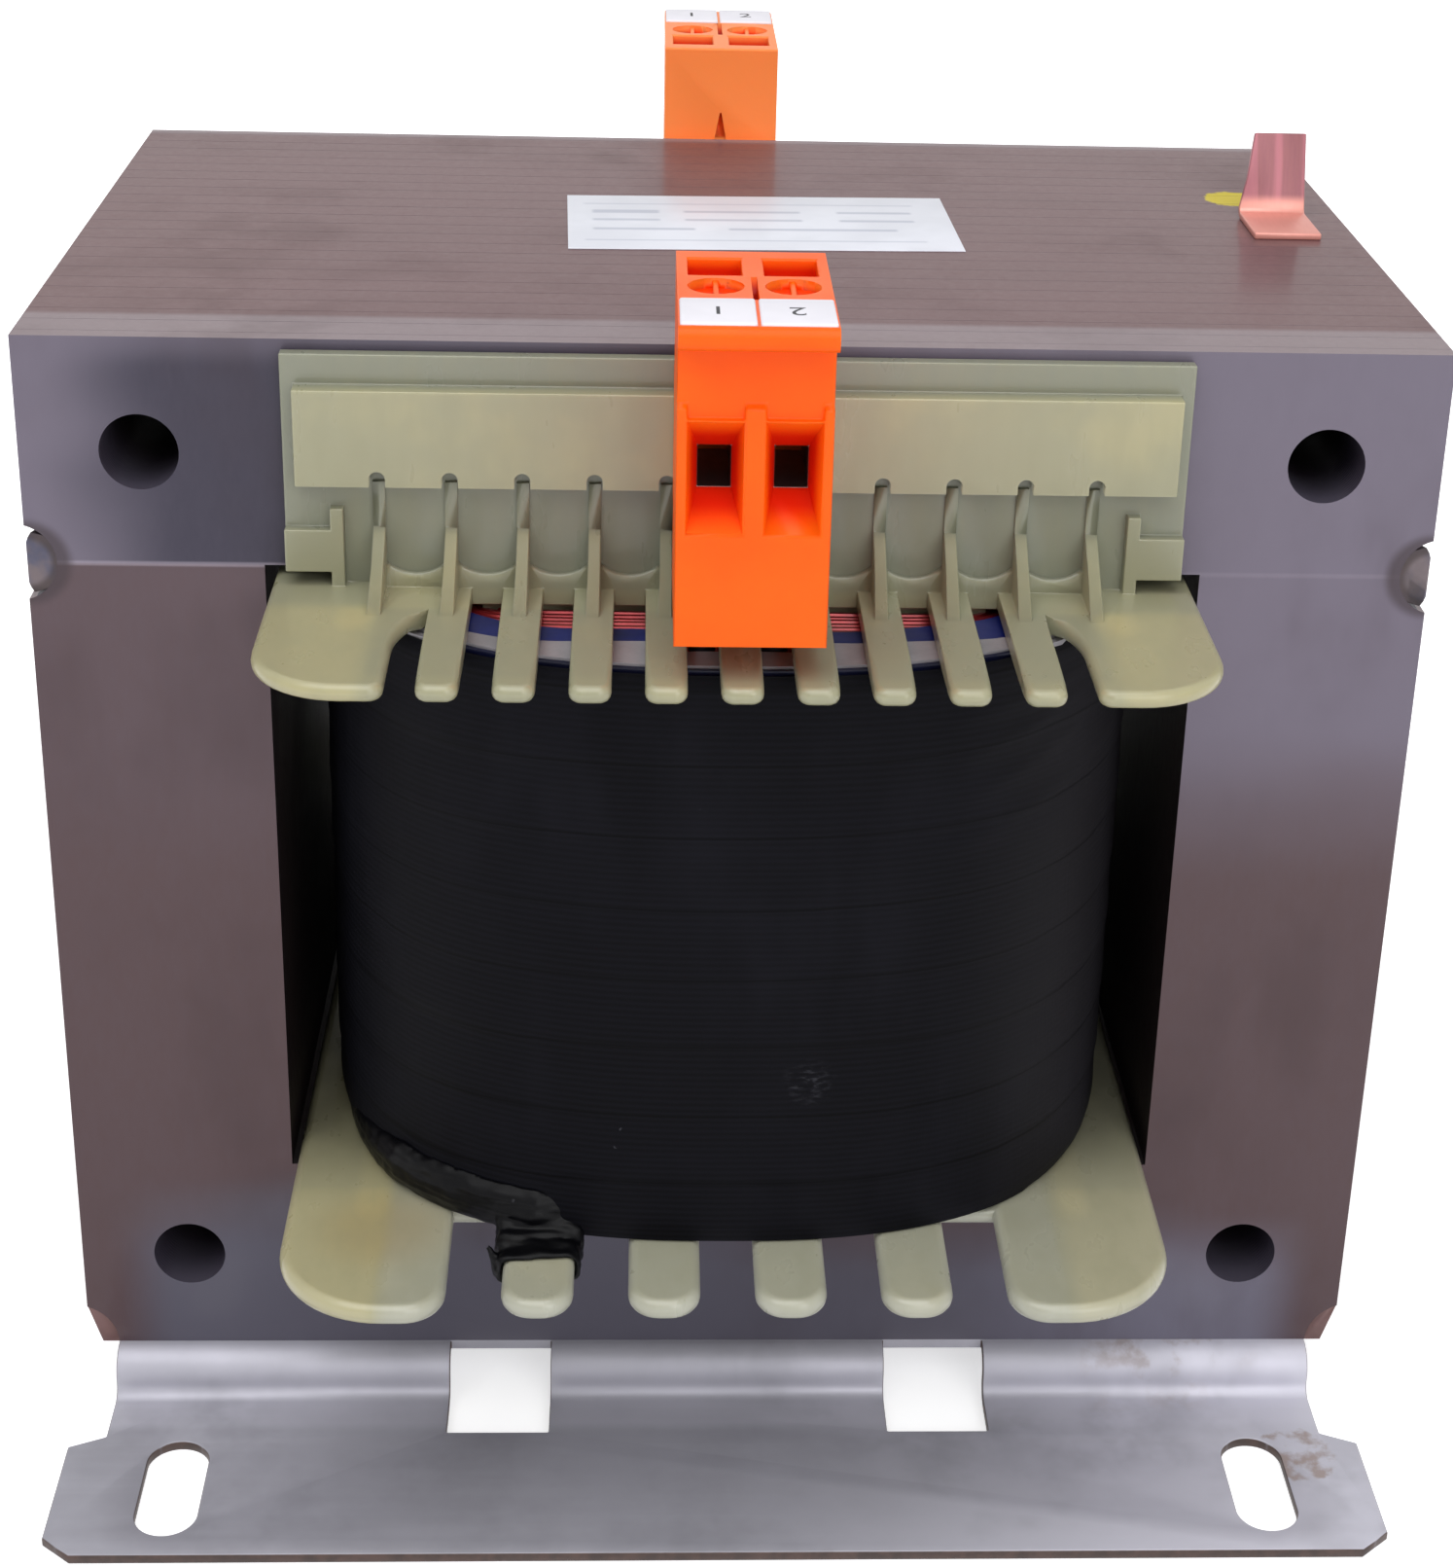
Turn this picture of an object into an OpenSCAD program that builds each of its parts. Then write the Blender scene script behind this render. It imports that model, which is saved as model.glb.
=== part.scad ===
// Laminated chassis transformer: welded E-I core, comb bobbin, taped coil, clamp terminals and pressed feet.
// Millimetres. X is the width, -Y the front, +Z up. The origin is under the middle, on the mounting plane.

/* [Core] */
// Width of the centre leg that the bobbin sits on
leg_w = 50; // [44:1:60]
// Width of each window between the centre leg and an outer limb
window_w = 25; // [23:0.5:32]
// Height of the windows
window_h = 75; // [64:1:90]
// Width of each outer limb
limb_w = 25; // [20:0.5:32]
// Height of the yoke that belongs to the E plates
base_yoke_h = 25; // [20:0.5:32]
// Height of the I bars that close the top
top_yoke_h = 25; // [24:0.5:32]
// Depth of the stack, front to back
stack_d = 92; // [70:1:120]
// Diameter of the four holes through the stack
bolt_hole_d = 8.3; // [5:0.1:10]
// Distance of each hole from the outer edges of the core
bolt_hole_inset = 12.5; // [10:0.5:15]
// Distance between the grooves that mark the packets of plates
packet_pitch = 4; // [3:0.5:8]
// Width of a packet groove
packet_groove_w = 0.2; // [0.15:0.05:0.6]
// Depth of a packet groove
packet_groove_d = 0.1; // [0.1:0.05:0.4]

/* [Welds] */
// Radius of the weld grooves at the butt joint
joint_groove_r = 4.3; // [3:0.1:4.6]
// How far the middle of a joint groove lies outside the core
joint_groove_out = 1.1; // [0:0.1:1.6]
// Radius of the weld grooves at the bottom corners
corner_groove_r = 5.2; // [4:0.1:5.4]
// How far the middle of a corner groove lies outside the core
corner_groove_out = 1.7; // [1.5:0.1:2.2]
// How far a joint weld stays below the side of the core
weld_sink = 0.5; // [0.3:0.1:1.5]
// Radius of the crown of a joint weld
weld_crown_r = 6; // [4:0.5:10]
// How far a base weld stays inside the side of the core at its foot
base_weld_in = 1.6; // [1:0.1:2]
// Width of the weld toe along the edge of a foot
weld_toe_w = 1.5; // [1:0.1:1.8]
// Distance from the core's face to the start of a weld toe
weld_toe_start = 2; // [0:0.5:4]

/* [Feet] */
// Thickness of the foot sheet
foot_t = 1.2; // [1:0.1:2.5]
// Inner radius of the upper bend of a foot
foot_top_r = 2.2; // [1:0.1:3]
// Inner radius of the lower bend of a foot
foot_low_r = 1.5; // [1:0.1:3]
// Straight stretch between the two bends
foot_web = 0.4; // [0.2:0.1:6]
// Length of the leg that lies under the core
foot_tuck = 14; // [8:0.5:20]
// Reach of the foot in front of the core
foot_reach = 31.2; // [28:0.2:40]
// How far the flange of a foot stands out past each side of the core
foot_overhang = 0.6; // [0.2:0.1:10]
// How far the neck of a foot stays inside each side of the core
foot_neck_inset = 3.5; // [2:0.1:6]
// Distance from the core to the start of the wide flange
foot_ear_y = 11; // [10:0.2:14]
// Slant of the shoulder between neck and flange
foot_ear_slant = 1.8; // [0.5:0.1:3]
// Width of the corner chamfers
foot_chamfer_x = 3.4; // [1:0.1:6]
// Depth of the corner chamfers
foot_chamfer_y = 2.9; // [1:0.1:6]
// Width of a mounting slot
slot_w = 7; // [4:0.1:8]
// Length of a mounting slot, end to end
slot_len = 16; // [10:0.5:16.5]
// Distance from the core to the middle of a slot
slot_y = 20; // [19.5:0.25:21]
// Distance of a slot from the side of the foot
slot_inset = 13.1; // [9:0.1:16]
// Width of the rectangular cut-outs over the bends
cutout_w = 12; // [6:0.5:18]
// Distance of each cut-out from the middle
cutout_x = 26; // [15:0.5:34]
// Reach of the cut-outs in front of the core
cutout_reach = 10.4; // [7:0.2:12]

/* [Bobbin tube and cheeks] */
// Clearance between the centre leg and the bobbin
tube_clear = 0.3; // [0.1:0.05:0.5]
// Wall of the bobbin tube and of the terminal walls
tube_wall = 1.6; // [1.2:0.1:2.2]
// Clearance between the cheeks and the outer limbs
cheek_clear = 1; // [0.3:0.1:1.5]
// Gap between the lower cheek and the base yoke
low_gap = 0.3; // [0.1:0.05:0.8]
// Gap between the upper cheek and the top yoke
top_gap = 1.1; // [0.3:0.1:2]
// Thickness of the lower cheek
low_cheek_t = 2.5; // [1.8:0.1:3.5]
// Thickness of the upper cheek
top_cheek_t = 1.9; // [1.4:0.1:3]

/* [Lower cheek outline] */
// Reach of the corner lobes of the lower cheek in front of the core
low_lobe_reach = 31.6; // [28:0.2:36]
// Distance from the outer edge to the inner side of a lower lobe
low_lobe_w = 18.6; // [14:0.2:20]
// Outer corner radius of a lower lobe
low_lobe_r = 12; // [6:0.5:13]
// Inner corner radius of a lower lobe
low_lobe_inner_r = 4.5; // [2:0.5:6]
// Reach of the lower fingers in front of the core
low_finger_reach = 30.7; // [26:0.2:34]
// Width of a lower finger
low_finger_w = 7.8; // [5:0.1:9]
// Spacing of the lower fingers
low_finger_pitch = 13.7; // [12:0.1:15]
// Number of lower fingers on each side
low_fingers = 4; // [2:1:4]
// Corner radius at the tip of a lower finger
low_finger_r = 3.4; // [1:0.1:3.8]
// Distance from the core to the root of the lower slots
low_root = 13; // [10:0.5:16]

/* [Upper cheek outline] */
// Reach of the upper lobes and fingers in front of the core
top_reach = 28.9; // [26:0.2:34]
// Width of an upper lobe at its tip
top_lobe_w = 13.8; // [11:0.2:14]
// Outer corner radius of an upper lobe
top_lobe_r = 9.5; // [5:0.5:10]
// Inner corner radius of an upper lobe
top_lobe_inner_r = 1.5; // [0.5:0.1:3]
// Radius of the flare that joins a lobe to its neighbouring finger
top_flare_r = 15; // [12:1:40]
// Distance from the core to the end of the flare
top_flare_y = 18; // [14:0.5:20]
// Width of an upper finger
top_finger_w = 4.2; // [3:0.1:5]
// Spacing of the fingers, fins, rail notches and terminal poles
pitch = 7.5; // [7.2:0.05:7.7]
// Number of upper fingers on each side, an odd number
top_fingers = 9; // [5:2:9]
// Corner radius at the tip of an upper finger
top_finger_r = 1.3; // [0.5:0.1:1.4]

/* [Terminal wall] */
// Width of the terminal wall
wall_w = 94.8; // [90:0.2:98]
// How far the terminal wall stays below the top of the core
wall_top_gap = 1; // [0:0.1:3]
// How far the bottom of the wall's ends is above the butt joint
wall_end_lift = 0.5; // [0.2:0.1:2]
// Width of the web that joins the wall to the upper cheek
web_w = 85.2; // [84:0.2:88]
// How far the rail stands out of the wall
rail_t = 2.3; // [1.5:0.1:3]
// Height of the rail
rail_h = 10.4; // [8:0.2:12]
// Distance from the top of the wall to the rail
rail_drop = 3.2; // [2.6:0.1:4]
// How much shorter the rail is on each side than the wall
rail_inset = 1.4; // [0.5:0.1:3]
// Width of the notches in the rail's lower edge
notch_w = 1.7; // [1:0.1:2.6]
// Height of the notches in the rail's lower edge
notch_h = 1.7; // [1.3:0.1:2.5]
// Thickness of the fins between rail and fingers
fin_t = 1.3; // [0.8:0.1:1.8]
// Reach of a fin from the core, on top of its finger
fin_reach = 11; // [7:0.1:11.2]
// Height of the sloping part of a fin
fin_slope_h = 6.5; // [4:0.1:8]
// How far the upright part of a fin stands out of the wall
fin_relief = 0.5; // [0.3:0.1:1.2]
// Thickness of the pads at the bottom of the bays
pad_t = 1.3; // [0.6:0.1:2]
// Height of the pads beside the fins
pad_h = 2.5; // [2:0.1:5]
// Height of the pads in the middle of a bay
pad_mid_h = 1.3; // [0.6:0.1:1.8]
// Width of the side legs
side_leg_w = 1.4; // [1:0.1:2.2]
// Height of the side legs above the upper cheek
side_leg_h = 8.7; // [6:0.1:10]
// Height of the shoulders beside the side legs
shoulder_h = 6.3; // [3:0.1:8]

/* [Coil] */
// Clearance of the coil to the bobbin tube and between its ends and the cheeks
coil_clear = 0.2; // [0.1:0.05:0.4]
// Gap between the wrapped coil and an outer limb
coil_side_gap = 3.2; // [1.5:0.1:4]
// Build of the coil in front of the bobbin tube
coil_front_build = 18.3; // [16:0.1:20]
// Thickness of the black tape wrap
tape_t = 1.2; // [0.8:0.1:2]
// Thickness of the outer blue film
outer_film_t = 0.6; // [0.3:0.05:1]
// Thickness of the white paper wrap
paper_t = 0.9; // [0.5:0.05:1.4]
// Thickness of the inner blue film
inner_film_t = 0.5; // [0.3:0.05:1]
// Thickness of the insulation between the two windings
interlayer_t = 0.6; // [0.3:0.05:1.2]
// Share of the copper build that the primary winding takes
primary_share = 0.48; // [0.35:0.01:0.6]
// Thickness of each margin that is folded over the coil's ends
fold_t = 0.3; // [0.2:0.05:0.4]
// Width of the folded paper margin
paper_fold = 6.3; // [5:0.1:8]
// Width of the folded inner film margin
film_fold = 9.4; // [8.5:0.1:13]
// How far the black tape ends below the folded margins
tape_end = 0.6; // [0.2:0.1:2]

/* [Leads] */
// Diameter of the lead wires
lead_d = 2; // [1.2:0.1:2]
// Wall of the insulating sleeves on the leads
sleeve_wall = 0.4; // [0.2:0.05:0.5]
// Distance of the leads from the core
lead_y = 12.6; // [12:0.1:13]
// Length of the slit for the leads in the folded margins, measured from the leads
lead_slit = 2.2; // [1.8:0.1:3]
// How far the sleeves stay below the terminal
sleeve_gap = 1; // [0.5:0.1:2]

/* [Terminals] */
// Number of poles of each terminal
poles = 2; // [1:1:4]
// Offset of the front terminal along its rail
terminal_x = 0.6; // [0:0.1:0.6]
// Clearance between a terminal and the rail that it clips on
clip_clear = 0.1; // [0.05:0.05:0.2]
// Distance from the core to the front of a terminal
body_front = 27.5; // [26.5:0.1:30]
// Distance from the core to the back of a terminal, below the rail
body_back = 8; // [7.7:0.1:9]
// Height of a terminal above the top of the core
body_rise = 11.2; // [10:0.1:16]
// Length of the skirt of a terminal below the rail
body_skirt = 7.7; // [6:0.1:8]
// How far the lip stands out over the front
lip_out = 3.7; // [2:0.1:5]
// Height of the lip
lip_h = 2.4; // [2.2:0.1:4.5]
// Radius of the edges of the lip
lip_r = 1; // [0.6:0.1:1.1]
// How far the ribs stand proud of the upper part of the front
rib_proud = 0.8; // [0.4:0.1:1.2]
// Width of the ribs at the sides of a terminal
side_rib_w = 1; // [0.8:0.1:1.2]
// Width of the rib between two funnels
mid_rib_w = 1.8; // [1.2:0.1:2]
// Height of the upper plain panel between funnel and lip
panel_h = 7.8; // [5:0.1:9]
// How far the ribs run up over the panel
rib_over = 1.6; // [0.5:0.1:2.5]
// Height of a funnel at its mouth
funnel_h = 11.6; // [9:0.1:12]
// Depth of a funnel
funnel_d = 5; // [4:0.1:6]
// Inner width of a clamp cage
cage_w = 3.2; // [2.6:0.1:3.4]
// Inner height of a clamp cage
cage_h = 4.2; // [3:0.1:4.6]
// Length of a clamp cage
cage_len = 11; // [9:0.1:11.5]
// Sheet thickness of cages, springs and contact bars
cage_t = 0.5; // [0.3:0.05:0.6]
// Height of the cage floor above the lower edge of its funnel
cage_lift = 3.3; // [2.8:0.1:4]
// Clearance around the metal inside a terminal
metal_clear = 0.15; // [0.1:0.05:0.2]
// Height of a clamp spring
spring_h = 4.6; // [3:0.1:5]
// Width of the release slot in the top
release_w = 5.3; // [4:0.1:5.6]
// Length of the release slot
release_len = 6; // [4:0.1:6.4]
// Depth of the release slot
release_depth = 4; // [2:0.1:4.5]
// Width of the oval finger rests in the top
rest_d = 5.5; // [4:0.1:5.6]
// Depth of the oval finger rests
rest_depth = 1; // [0.5:0.1:1.5]
// Length of a marker tag
tag_len = 8.2; // [6:0.1:8.6]
// Thickness of a marker tag
tag_t = 1; // [0.6:0.1:1.2]
// Depth of the seat of a marker tag
tag_seat = 0.7; // [0.3:0.1:0.8]
// Gap between a tag and the edges of its pole
tag_gap = 0.15; // [0.1:0.05:0.3]

/* [Tape tail] */
// Radius of the rolled tape
tail_r = 1.2; // [1:0.1:1.8]
// Thickness of the loop round the lower finger
loop_t = 1.1; // [0.6:0.1:1.2]
// Width of the loop along the finger
loop_w = 3.4; // [3:0.1:6]
// Radius of the knot between the tail and its loop
knot_r = 1.8; // [1.2:0.1:2.2]

/* [Earth tab and label] */
// Width of the earth tab's foot
tab_foot_w = 8; // [7:0.1:9]
// Length of the earth tab's foot
tab_foot_len = 9.3; // [8:0.1:13]
// Thickness of the earth tab
tab_t = 0.8; // [0.5:0.05:1]
// Width of the blade at its tip
tab_blade_w = 6.3; // [4.8:0.1:6.3]
// Length of the blade
tab_blade_len = 9; // [7:0.1:12]
// Lean of the blade away from the upright, in degrees
tab_lean = 18; // [0:1:30]
// Inner radius of the earth tab's bend
tab_bend_r = 0.8; // [0.4:0.1:1.5]
// Distance of the earth tab from the side of the core
tab_inset = 4.5; // [2:0.1:12]
// Distance from the front of the core to the front of the earth tab
tab_y = 45.3; // [30:0.1:56]
// Width of the rating label
label_w = 46; // [30:1:60]
// Height of the rating label
label_h = 24.4; // [15:0.5:30]
// Thickness of the rating label
label_t = 0.15; // [0.1:0.05:0.3]
// Offset of the label from the middle of the core, to the right
label_x = 3.8; // [0:0.1:8]
// Offset of the label from the middle of the core, to the rear
label_y = 3; // [0:0.1:8]
// Turn of the label, in degrees
label_turn = 1.8; // [0:0.1:3]

/* [Hidden] */
$fn = 48;

// overlap used only where one cutter has to pass through a surface
cut = 1;

// levels, from the mounting plane up
foot_drop = foot_t + foot_top_r + foot_low_r + foot_web;
core_z = foot_drop + foot_t;
window_z = core_z + base_yoke_h;
joint_z = window_z + window_h;
core_top = joint_z + top_yoke_h;

// widths and depths of the core
core_w = leg_w + 2 * window_w + 2 * limb_w;
core_x = core_w / 2;
leg_x = leg_w / 2;
face_y = stack_d / 2;
hole_x = core_x - bolt_hole_inset;
foot_x = core_x + foot_overhang;
neck_x = core_x - foot_neck_inset;

// bobbin
tube_in_x = leg_x + tube_clear;
tube_out_x = tube_in_x + tube_wall;
tube_in_y = face_y + tube_clear;
tube_out_y = tube_in_y + tube_wall;
low_z = window_z + low_gap;
coil_z = low_z + low_cheek_t;
top_z = joint_z - top_gap;
coil_top = top_z - top_cheek_t;
cheek_x = leg_x + window_w - cheek_clear;
end_finger = (top_fingers - 1) / 2;
wall_out = tube_clear + tube_wall;
wall_top = core_top - wall_top_gap;
rail_top = wall_top - rail_drop;
rail_z = rail_top - rail_h;
rail_out = wall_out + rail_t;
pad_out = wall_out + pad_t;

// coil: half widths in X and Y of each layer, from the outside inwards
tape_x = leg_x + window_w - coil_side_gap;
tape_y = tube_out_y + coil_front_build;
outer_film_x = tape_x - tape_t;
outer_film_y = tape_y - tape_t;
paper_x = outer_film_x - outer_film_t;
paper_y = outer_film_y - outer_film_t;
inner_film_x = paper_x - paper_t;
inner_film_y = paper_y - paper_t;
copper_x = inner_film_x - inner_film_t;
copper_y = inner_film_y - inner_film_t;
bore_x = tube_out_x + coil_clear;
bore_y = tube_out_y + coil_clear;
primary_x = bore_x + (copper_x - bore_x - interlayer_t) * primary_share;
primary_y = bore_y + (copper_y - bore_y - interlayer_t) * primary_share;
coil_low = coil_z + coil_clear;
coil_high = coil_top - coil_clear;
copper_top = coil_high - 2 * fold_t;
// squareness of the outlines: 2 is an ellipse, large values a rectangle
outer_bend = [2.5, 3.9];
inner_bend = [4, 8];
outline_steps = 96;

// terminals, measured from the core face outwards
body_w = poles * pitch;
body_z = rail_z - body_skirt;
body_top = core_top + body_rise;
lip_z = body_top - lip_h;
panel_z = lip_z - panel_h;
funnel_z = panel_z - funnel_h;
funnel_w = pitch - max(side_rib_w * 2, mid_rib_w);
cage_back = body_front - funnel_d - cage_len;
cage_floor = funnel_z + cage_lift;
cage_z = cage_floor - cage_t;
cage_top = cage_floor + cage_h + cage_t;
spring_top = cage_top + metal_clear + spring_h;
bar_z = cage_z - metal_clear - cage_t;
lead_top = body_z + 2;
hook_h = rail_drop - 2 * clip_clear - 0.4;
claw_h = 2;
claw_w = pitch - fin_t - 1.4;

// ---------------------------------------------------------------- helpers

// repeats its children at the front and, turned half round, at the rear
module both_sides() {
  children();
  rotate([0, 0, 180]) children();
}

// a solid whose outline is drawn in X and Z and runs along Y from y0 to y1
module along_y(y0, y1) {
  translate([0, y1, 0]) rotate([90, 0, 0]) linear_extrude(y1 - y0) children();
}

// a solid whose outline is drawn as (distance in front of the core, height) and runs along X
module along_x(x0, x1) {
  translate([x0, -face_y, 0]) mirror([0, 1, 0]) rotate([90, 0, 90]) linear_extrude(x1 - x0) children();
}

// a rectangle given by two corners
module area(x0, y0, x1, y1) {
  translate([x0, y0]) square([x1 - x0, y1 - y0]);
}

// a block given by two corners
module block(x0, y0, z0, x1, y1, z1) {
  translate([x0, y0, z0]) cube([x1 - x0, y1 - y0, z1 - z0]);
}

// what a rounded corner of radius r leaves over; sx and sy point out of the corner
module corner_waste(x, y, r, sx, sy) {
  translate([x, y]) scale([sx, sy]) difference() {
    translate([-r, -r]) square(r + cut);
    translate([-r, -r]) circle(r);
  }
}

// points of a rounded outline: half widths a and b, squareness bend
function power(v, p) = sign(v) * pow(abs(v), p);
function coil_outline(a, b, bend) = [
  for (i = [0 : outline_steps - 1])
    let (t = 360 * (i + 0.5) / outline_steps)
    [a * power(cos(t), 2 / bend[0]), b * power(sin(t), 2 / bend[1])]
];

// ---------------------------------------------------------------- core

module packet_grooves(z0, z1) {
  count = floor(stack_d / packet_pitch) - 1;
  start = -count * packet_pitch / 2;
  for (i = [0 : count]) {
    y = start + i * packet_pitch;
    for (side = [-1, 1])
      translate([side * core_x, y, (z0 + z1) / 2])
        cube([2 * packet_groove_d, packet_groove_w, z1 - z0 + cut], center = true);
  }
}

module top_grooves() {
  count = floor(stack_d / packet_pitch) - 1;
  start = -count * packet_pitch / 2;
  for (i = [0 : count])
    translate([0, start + i * packet_pitch, core_top])
      cube([core_w + cut, packet_groove_w, 2 * packet_groove_d], center = true);
}

module joint_groove(side) {
  translate([side * (core_x + joint_groove_out), joint_z]) circle(joint_groove_r);
}

module corner_groove(side) {
  translate([side * (core_x + corner_groove_out), core_z]) circle(corner_groove_r);
}

module e_plate() {
  difference() {
    area(-core_x, core_z, core_x, joint_z);
    for (side = [-1, 1]) {
      translate([side * (leg_x + window_w / 2), window_z + window_h / 2 + cut / 2])
        square([window_w, window_h + cut], center = true);
      translate([side * hole_x, core_z + bolt_hole_inset]) circle(d = bolt_hole_d);
      joint_groove(side);
      corner_groove(side);
    }
  }
}

module i_plate() {
  difference() {
    area(-core_x, joint_z, core_x, core_top);
    for (side = [-1, 1]) {
      translate([side * hole_x, core_top - bolt_hole_inset]) circle(d = bolt_hole_d);
      joint_groove(side);
    }
  }
}

module e_lamination_stack() {
  color("#716874") difference() {
    along_y(-face_y, face_y) e_plate();
    packet_grooves(core_z, joint_z);
  }
}

module i_lamination_stack() {
  color("#7c7076") difference() {
    along_y(-face_y, face_y) i_plate();
    packet_grooves(joint_z, core_top);
    top_grooves();
  }
}

// ---------------------------------------------------------------- welds

module joint_weld(side) {
  crown_x = core_x - weld_sink - weld_crown_r;
  color("#a7a3a6") along_y(-face_y, face_y) intersection() {
    joint_groove(side);
    translate([side * crown_x, joint_z]) circle(weld_crown_r);
  }
}

module base_weld(side) {
  groove_h = sqrt(pow(corner_groove_r, 2) - pow(corner_groove_out, 2));
  toe_len = foot_tuck - weld_toe_start;
  toe_y = face_y - weld_toe_start - toe_len / 2;
  color("#8d7f76") {
    along_y(-face_y, face_y) intersection() {
      corner_groove(side);
      scale([side, 1]) polygon([
        [core_x - corner_groove_r, core_z], [core_x - base_weld_in, core_z], [core_x, core_z + groove_h],
        [core_x - corner_groove_r, core_z + groove_h]
      ]);
    }
    for (end = [-1, 1])
      translate([side * (neck_x + weld_toe_w / 2), end * toe_y, core_z - foot_t / 2])
        cube([weld_toe_w, toe_len, foot_t], center = true);
  }
}

// ---------------------------------------------------------------- feet

// outline of the bent strip: distance in front of the core and height
module foot_section() {
  web_out = foot_top_r + foot_t;
  low_out = web_out + foot_low_r;
  low_top = foot_t + foot_low_r;
  area(-foot_tuck, core_z - foot_t, 0, core_z);
  intersection() {
    translate([0, core_z - web_out]) difference() {
      circle(web_out);
      circle(foot_top_r);
    }
    area(0, core_z - web_out, web_out, core_z);
  }
  area(foot_top_r, low_top, web_out, core_z - web_out);
  intersection() {
    translate([low_out, low_top]) difference() {
      circle(low_top);
      circle(foot_low_r);
    }
    area(foot_top_r, 0, low_out, low_top);
  }
  area(low_out, 0, foot_reach, foot_t);
}

// outline of the foot seen from above, with its cut-outs and slots; y is the distance in front of the core
module foot_plan() {
  difference() {
    polygon([
      [-neck_x, -foot_tuck], [-neck_x, foot_ear_y], [-foot_x, foot_ear_y + foot_ear_slant],
      [-foot_x, foot_reach - foot_chamfer_y], [-foot_x + foot_chamfer_x, foot_reach],
      [foot_x - foot_chamfer_x, foot_reach], [foot_x, foot_reach - foot_chamfer_y],
      [foot_x, foot_ear_y + foot_ear_slant], [neck_x, foot_ear_y], [neck_x, -foot_tuck]
    ]);
    for (side = [-1, 1]) {
      translate([side * cutout_x - cutout_w / 2, 0]) square([cutout_w, cutout_reach]);
      translate([side * (foot_x - slot_inset), slot_y]) {
        square([slot_w, slot_len - slot_w], center = true);
        for (end = [-1, 1]) translate([0, end * (slot_len - slot_w) / 2]) circle(d = slot_w);
      }
    }
  }
}

module foot() {
  color("#8f8d92") intersection() {
    along_x(-foot_x - cut, foot_x + cut) foot_section();
    translate([0, -face_y, -cut]) mirror([0, 1, 0]) linear_extrude(core_z + 2 * cut) foot_plan();
  }
}

module front_foot() { foot(); }
module rear_foot() { rotate([0, 0, 180]) foot(); }

// ---------------------------------------------------------------- bobbin

// everything here is drawn for the front; y is the distance in front of the core
module low_lobe() {
  inner_x = cheek_x - low_lobe_w;
  difference() {
    area(inner_x, 0, cheek_x, low_lobe_reach);
    corner_waste(cheek_x, low_lobe_reach, low_lobe_r, 1, 1);
    corner_waste(inner_x, low_lobe_reach, low_lobe_inner_r, -1, 1);
  }
}

module finger(x, w, reach, r) {
  difference() {
    area(x - w / 2, 0, x + w / 2, reach);
    corner_waste(x + w / 2, reach, r, 1, 1);
    corner_waste(x - w / 2, reach, r, -1, 1);
  }
}

module low_cheek_front() {
  area(-cheek_x, -face_y, cheek_x, low_root);
  for (side = [1, -1]) scale([side, 1]) low_lobe();
  for (i = [0 : low_fingers - 1])
    finger((i - (low_fingers - 1) / 2) * low_finger_pitch, low_finger_w, low_finger_reach, low_finger_r);
}

module top_lobe() {
  inner_x = cheek_x - top_lobe_w;
  root_x = end_finger * pitch + top_finger_w / 2;
  difference() {
    area(root_x, 0, cheek_x, top_reach);
    area(root_x - cut, top_flare_y, inner_x, top_reach + cut);
    intersection() {
      translate([inner_x - top_flare_r, top_flare_y]) circle(top_flare_r, $fn = 96);
      area(root_x - cut, pad_out, inner_x + cut, top_flare_y);
    }
    corner_waste(cheek_x, top_reach, top_lobe_r, 1, 1);
    corner_waste(inner_x, top_reach, top_lobe_inner_r, -1, 1);
  }
}

module top_cheek_front() {
  area(-cheek_x, -face_y, cheek_x, pad_out);
  for (side = [1, -1]) scale([side, 1]) top_lobe();
  for (i = [-end_finger : end_finger]) finger(i * pitch, top_finger_w, top_reach, top_finger_r);
}

// rail with its round-topped notches, drawn in X and Z
module rail_face() {
  rail_x = wall_w / 2 - rail_inset;
  difference() {
    area(-rail_x, rail_z, rail_x, rail_top);
    for (i = [-end_finger - 1 : end_finger + 1]) {
      area(i * pitch - notch_w / 2, rail_z - cut, i * pitch + notch_w / 2, rail_z + notch_h - notch_w / 2);
      translate([i * pitch, rail_z + notch_h - notch_w / 2]) circle(d = notch_w);
    }
  }
}

// one pad at the foot of a bay, hollowed in a U
module bay_pad(x) {
  bay_w = pitch - fin_t;
  hollow_r = (pow(bay_w / 2, 2) + pow(pad_h - pad_mid_h, 2)) / (2 * (pad_h - pad_mid_h));
  difference() {
    area(x - bay_w / 2, top_z - top_cheek_t, x + bay_w / 2, top_z + pad_h);
    translate([x, top_z + pad_mid_h + hollow_r]) circle(hollow_r);
  }
}

// a fin runs down the wall from its rail notch and slopes out over its finger
module fin(x) {
  upright = wall_out + fin_relief;
  root_z = top_z - top_cheek_t / 2;
  along_x(x - fin_t / 2, x + fin_t / 2) polygon([
    [tube_clear, root_z], [fin_reach, root_z], [fin_reach, top_z], [upright, top_z + fin_slope_h],
    [upright, rail_z], [tube_clear, rail_z]
  ]);
}

// leg down to the cheek and shoulder beside it, under each end of the rail
module side_leg() {
  leg_out = web_w / 2;
  along_y(-face_y - pad_out, -face_y - wall_out) {
    area(leg_out - side_leg_w, top_z, leg_out, top_z + side_leg_h);
    area(leg_out, joint_z + wall_end_lift, wall_w / 2, top_z + shoulder_h);
  }
}

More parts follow.
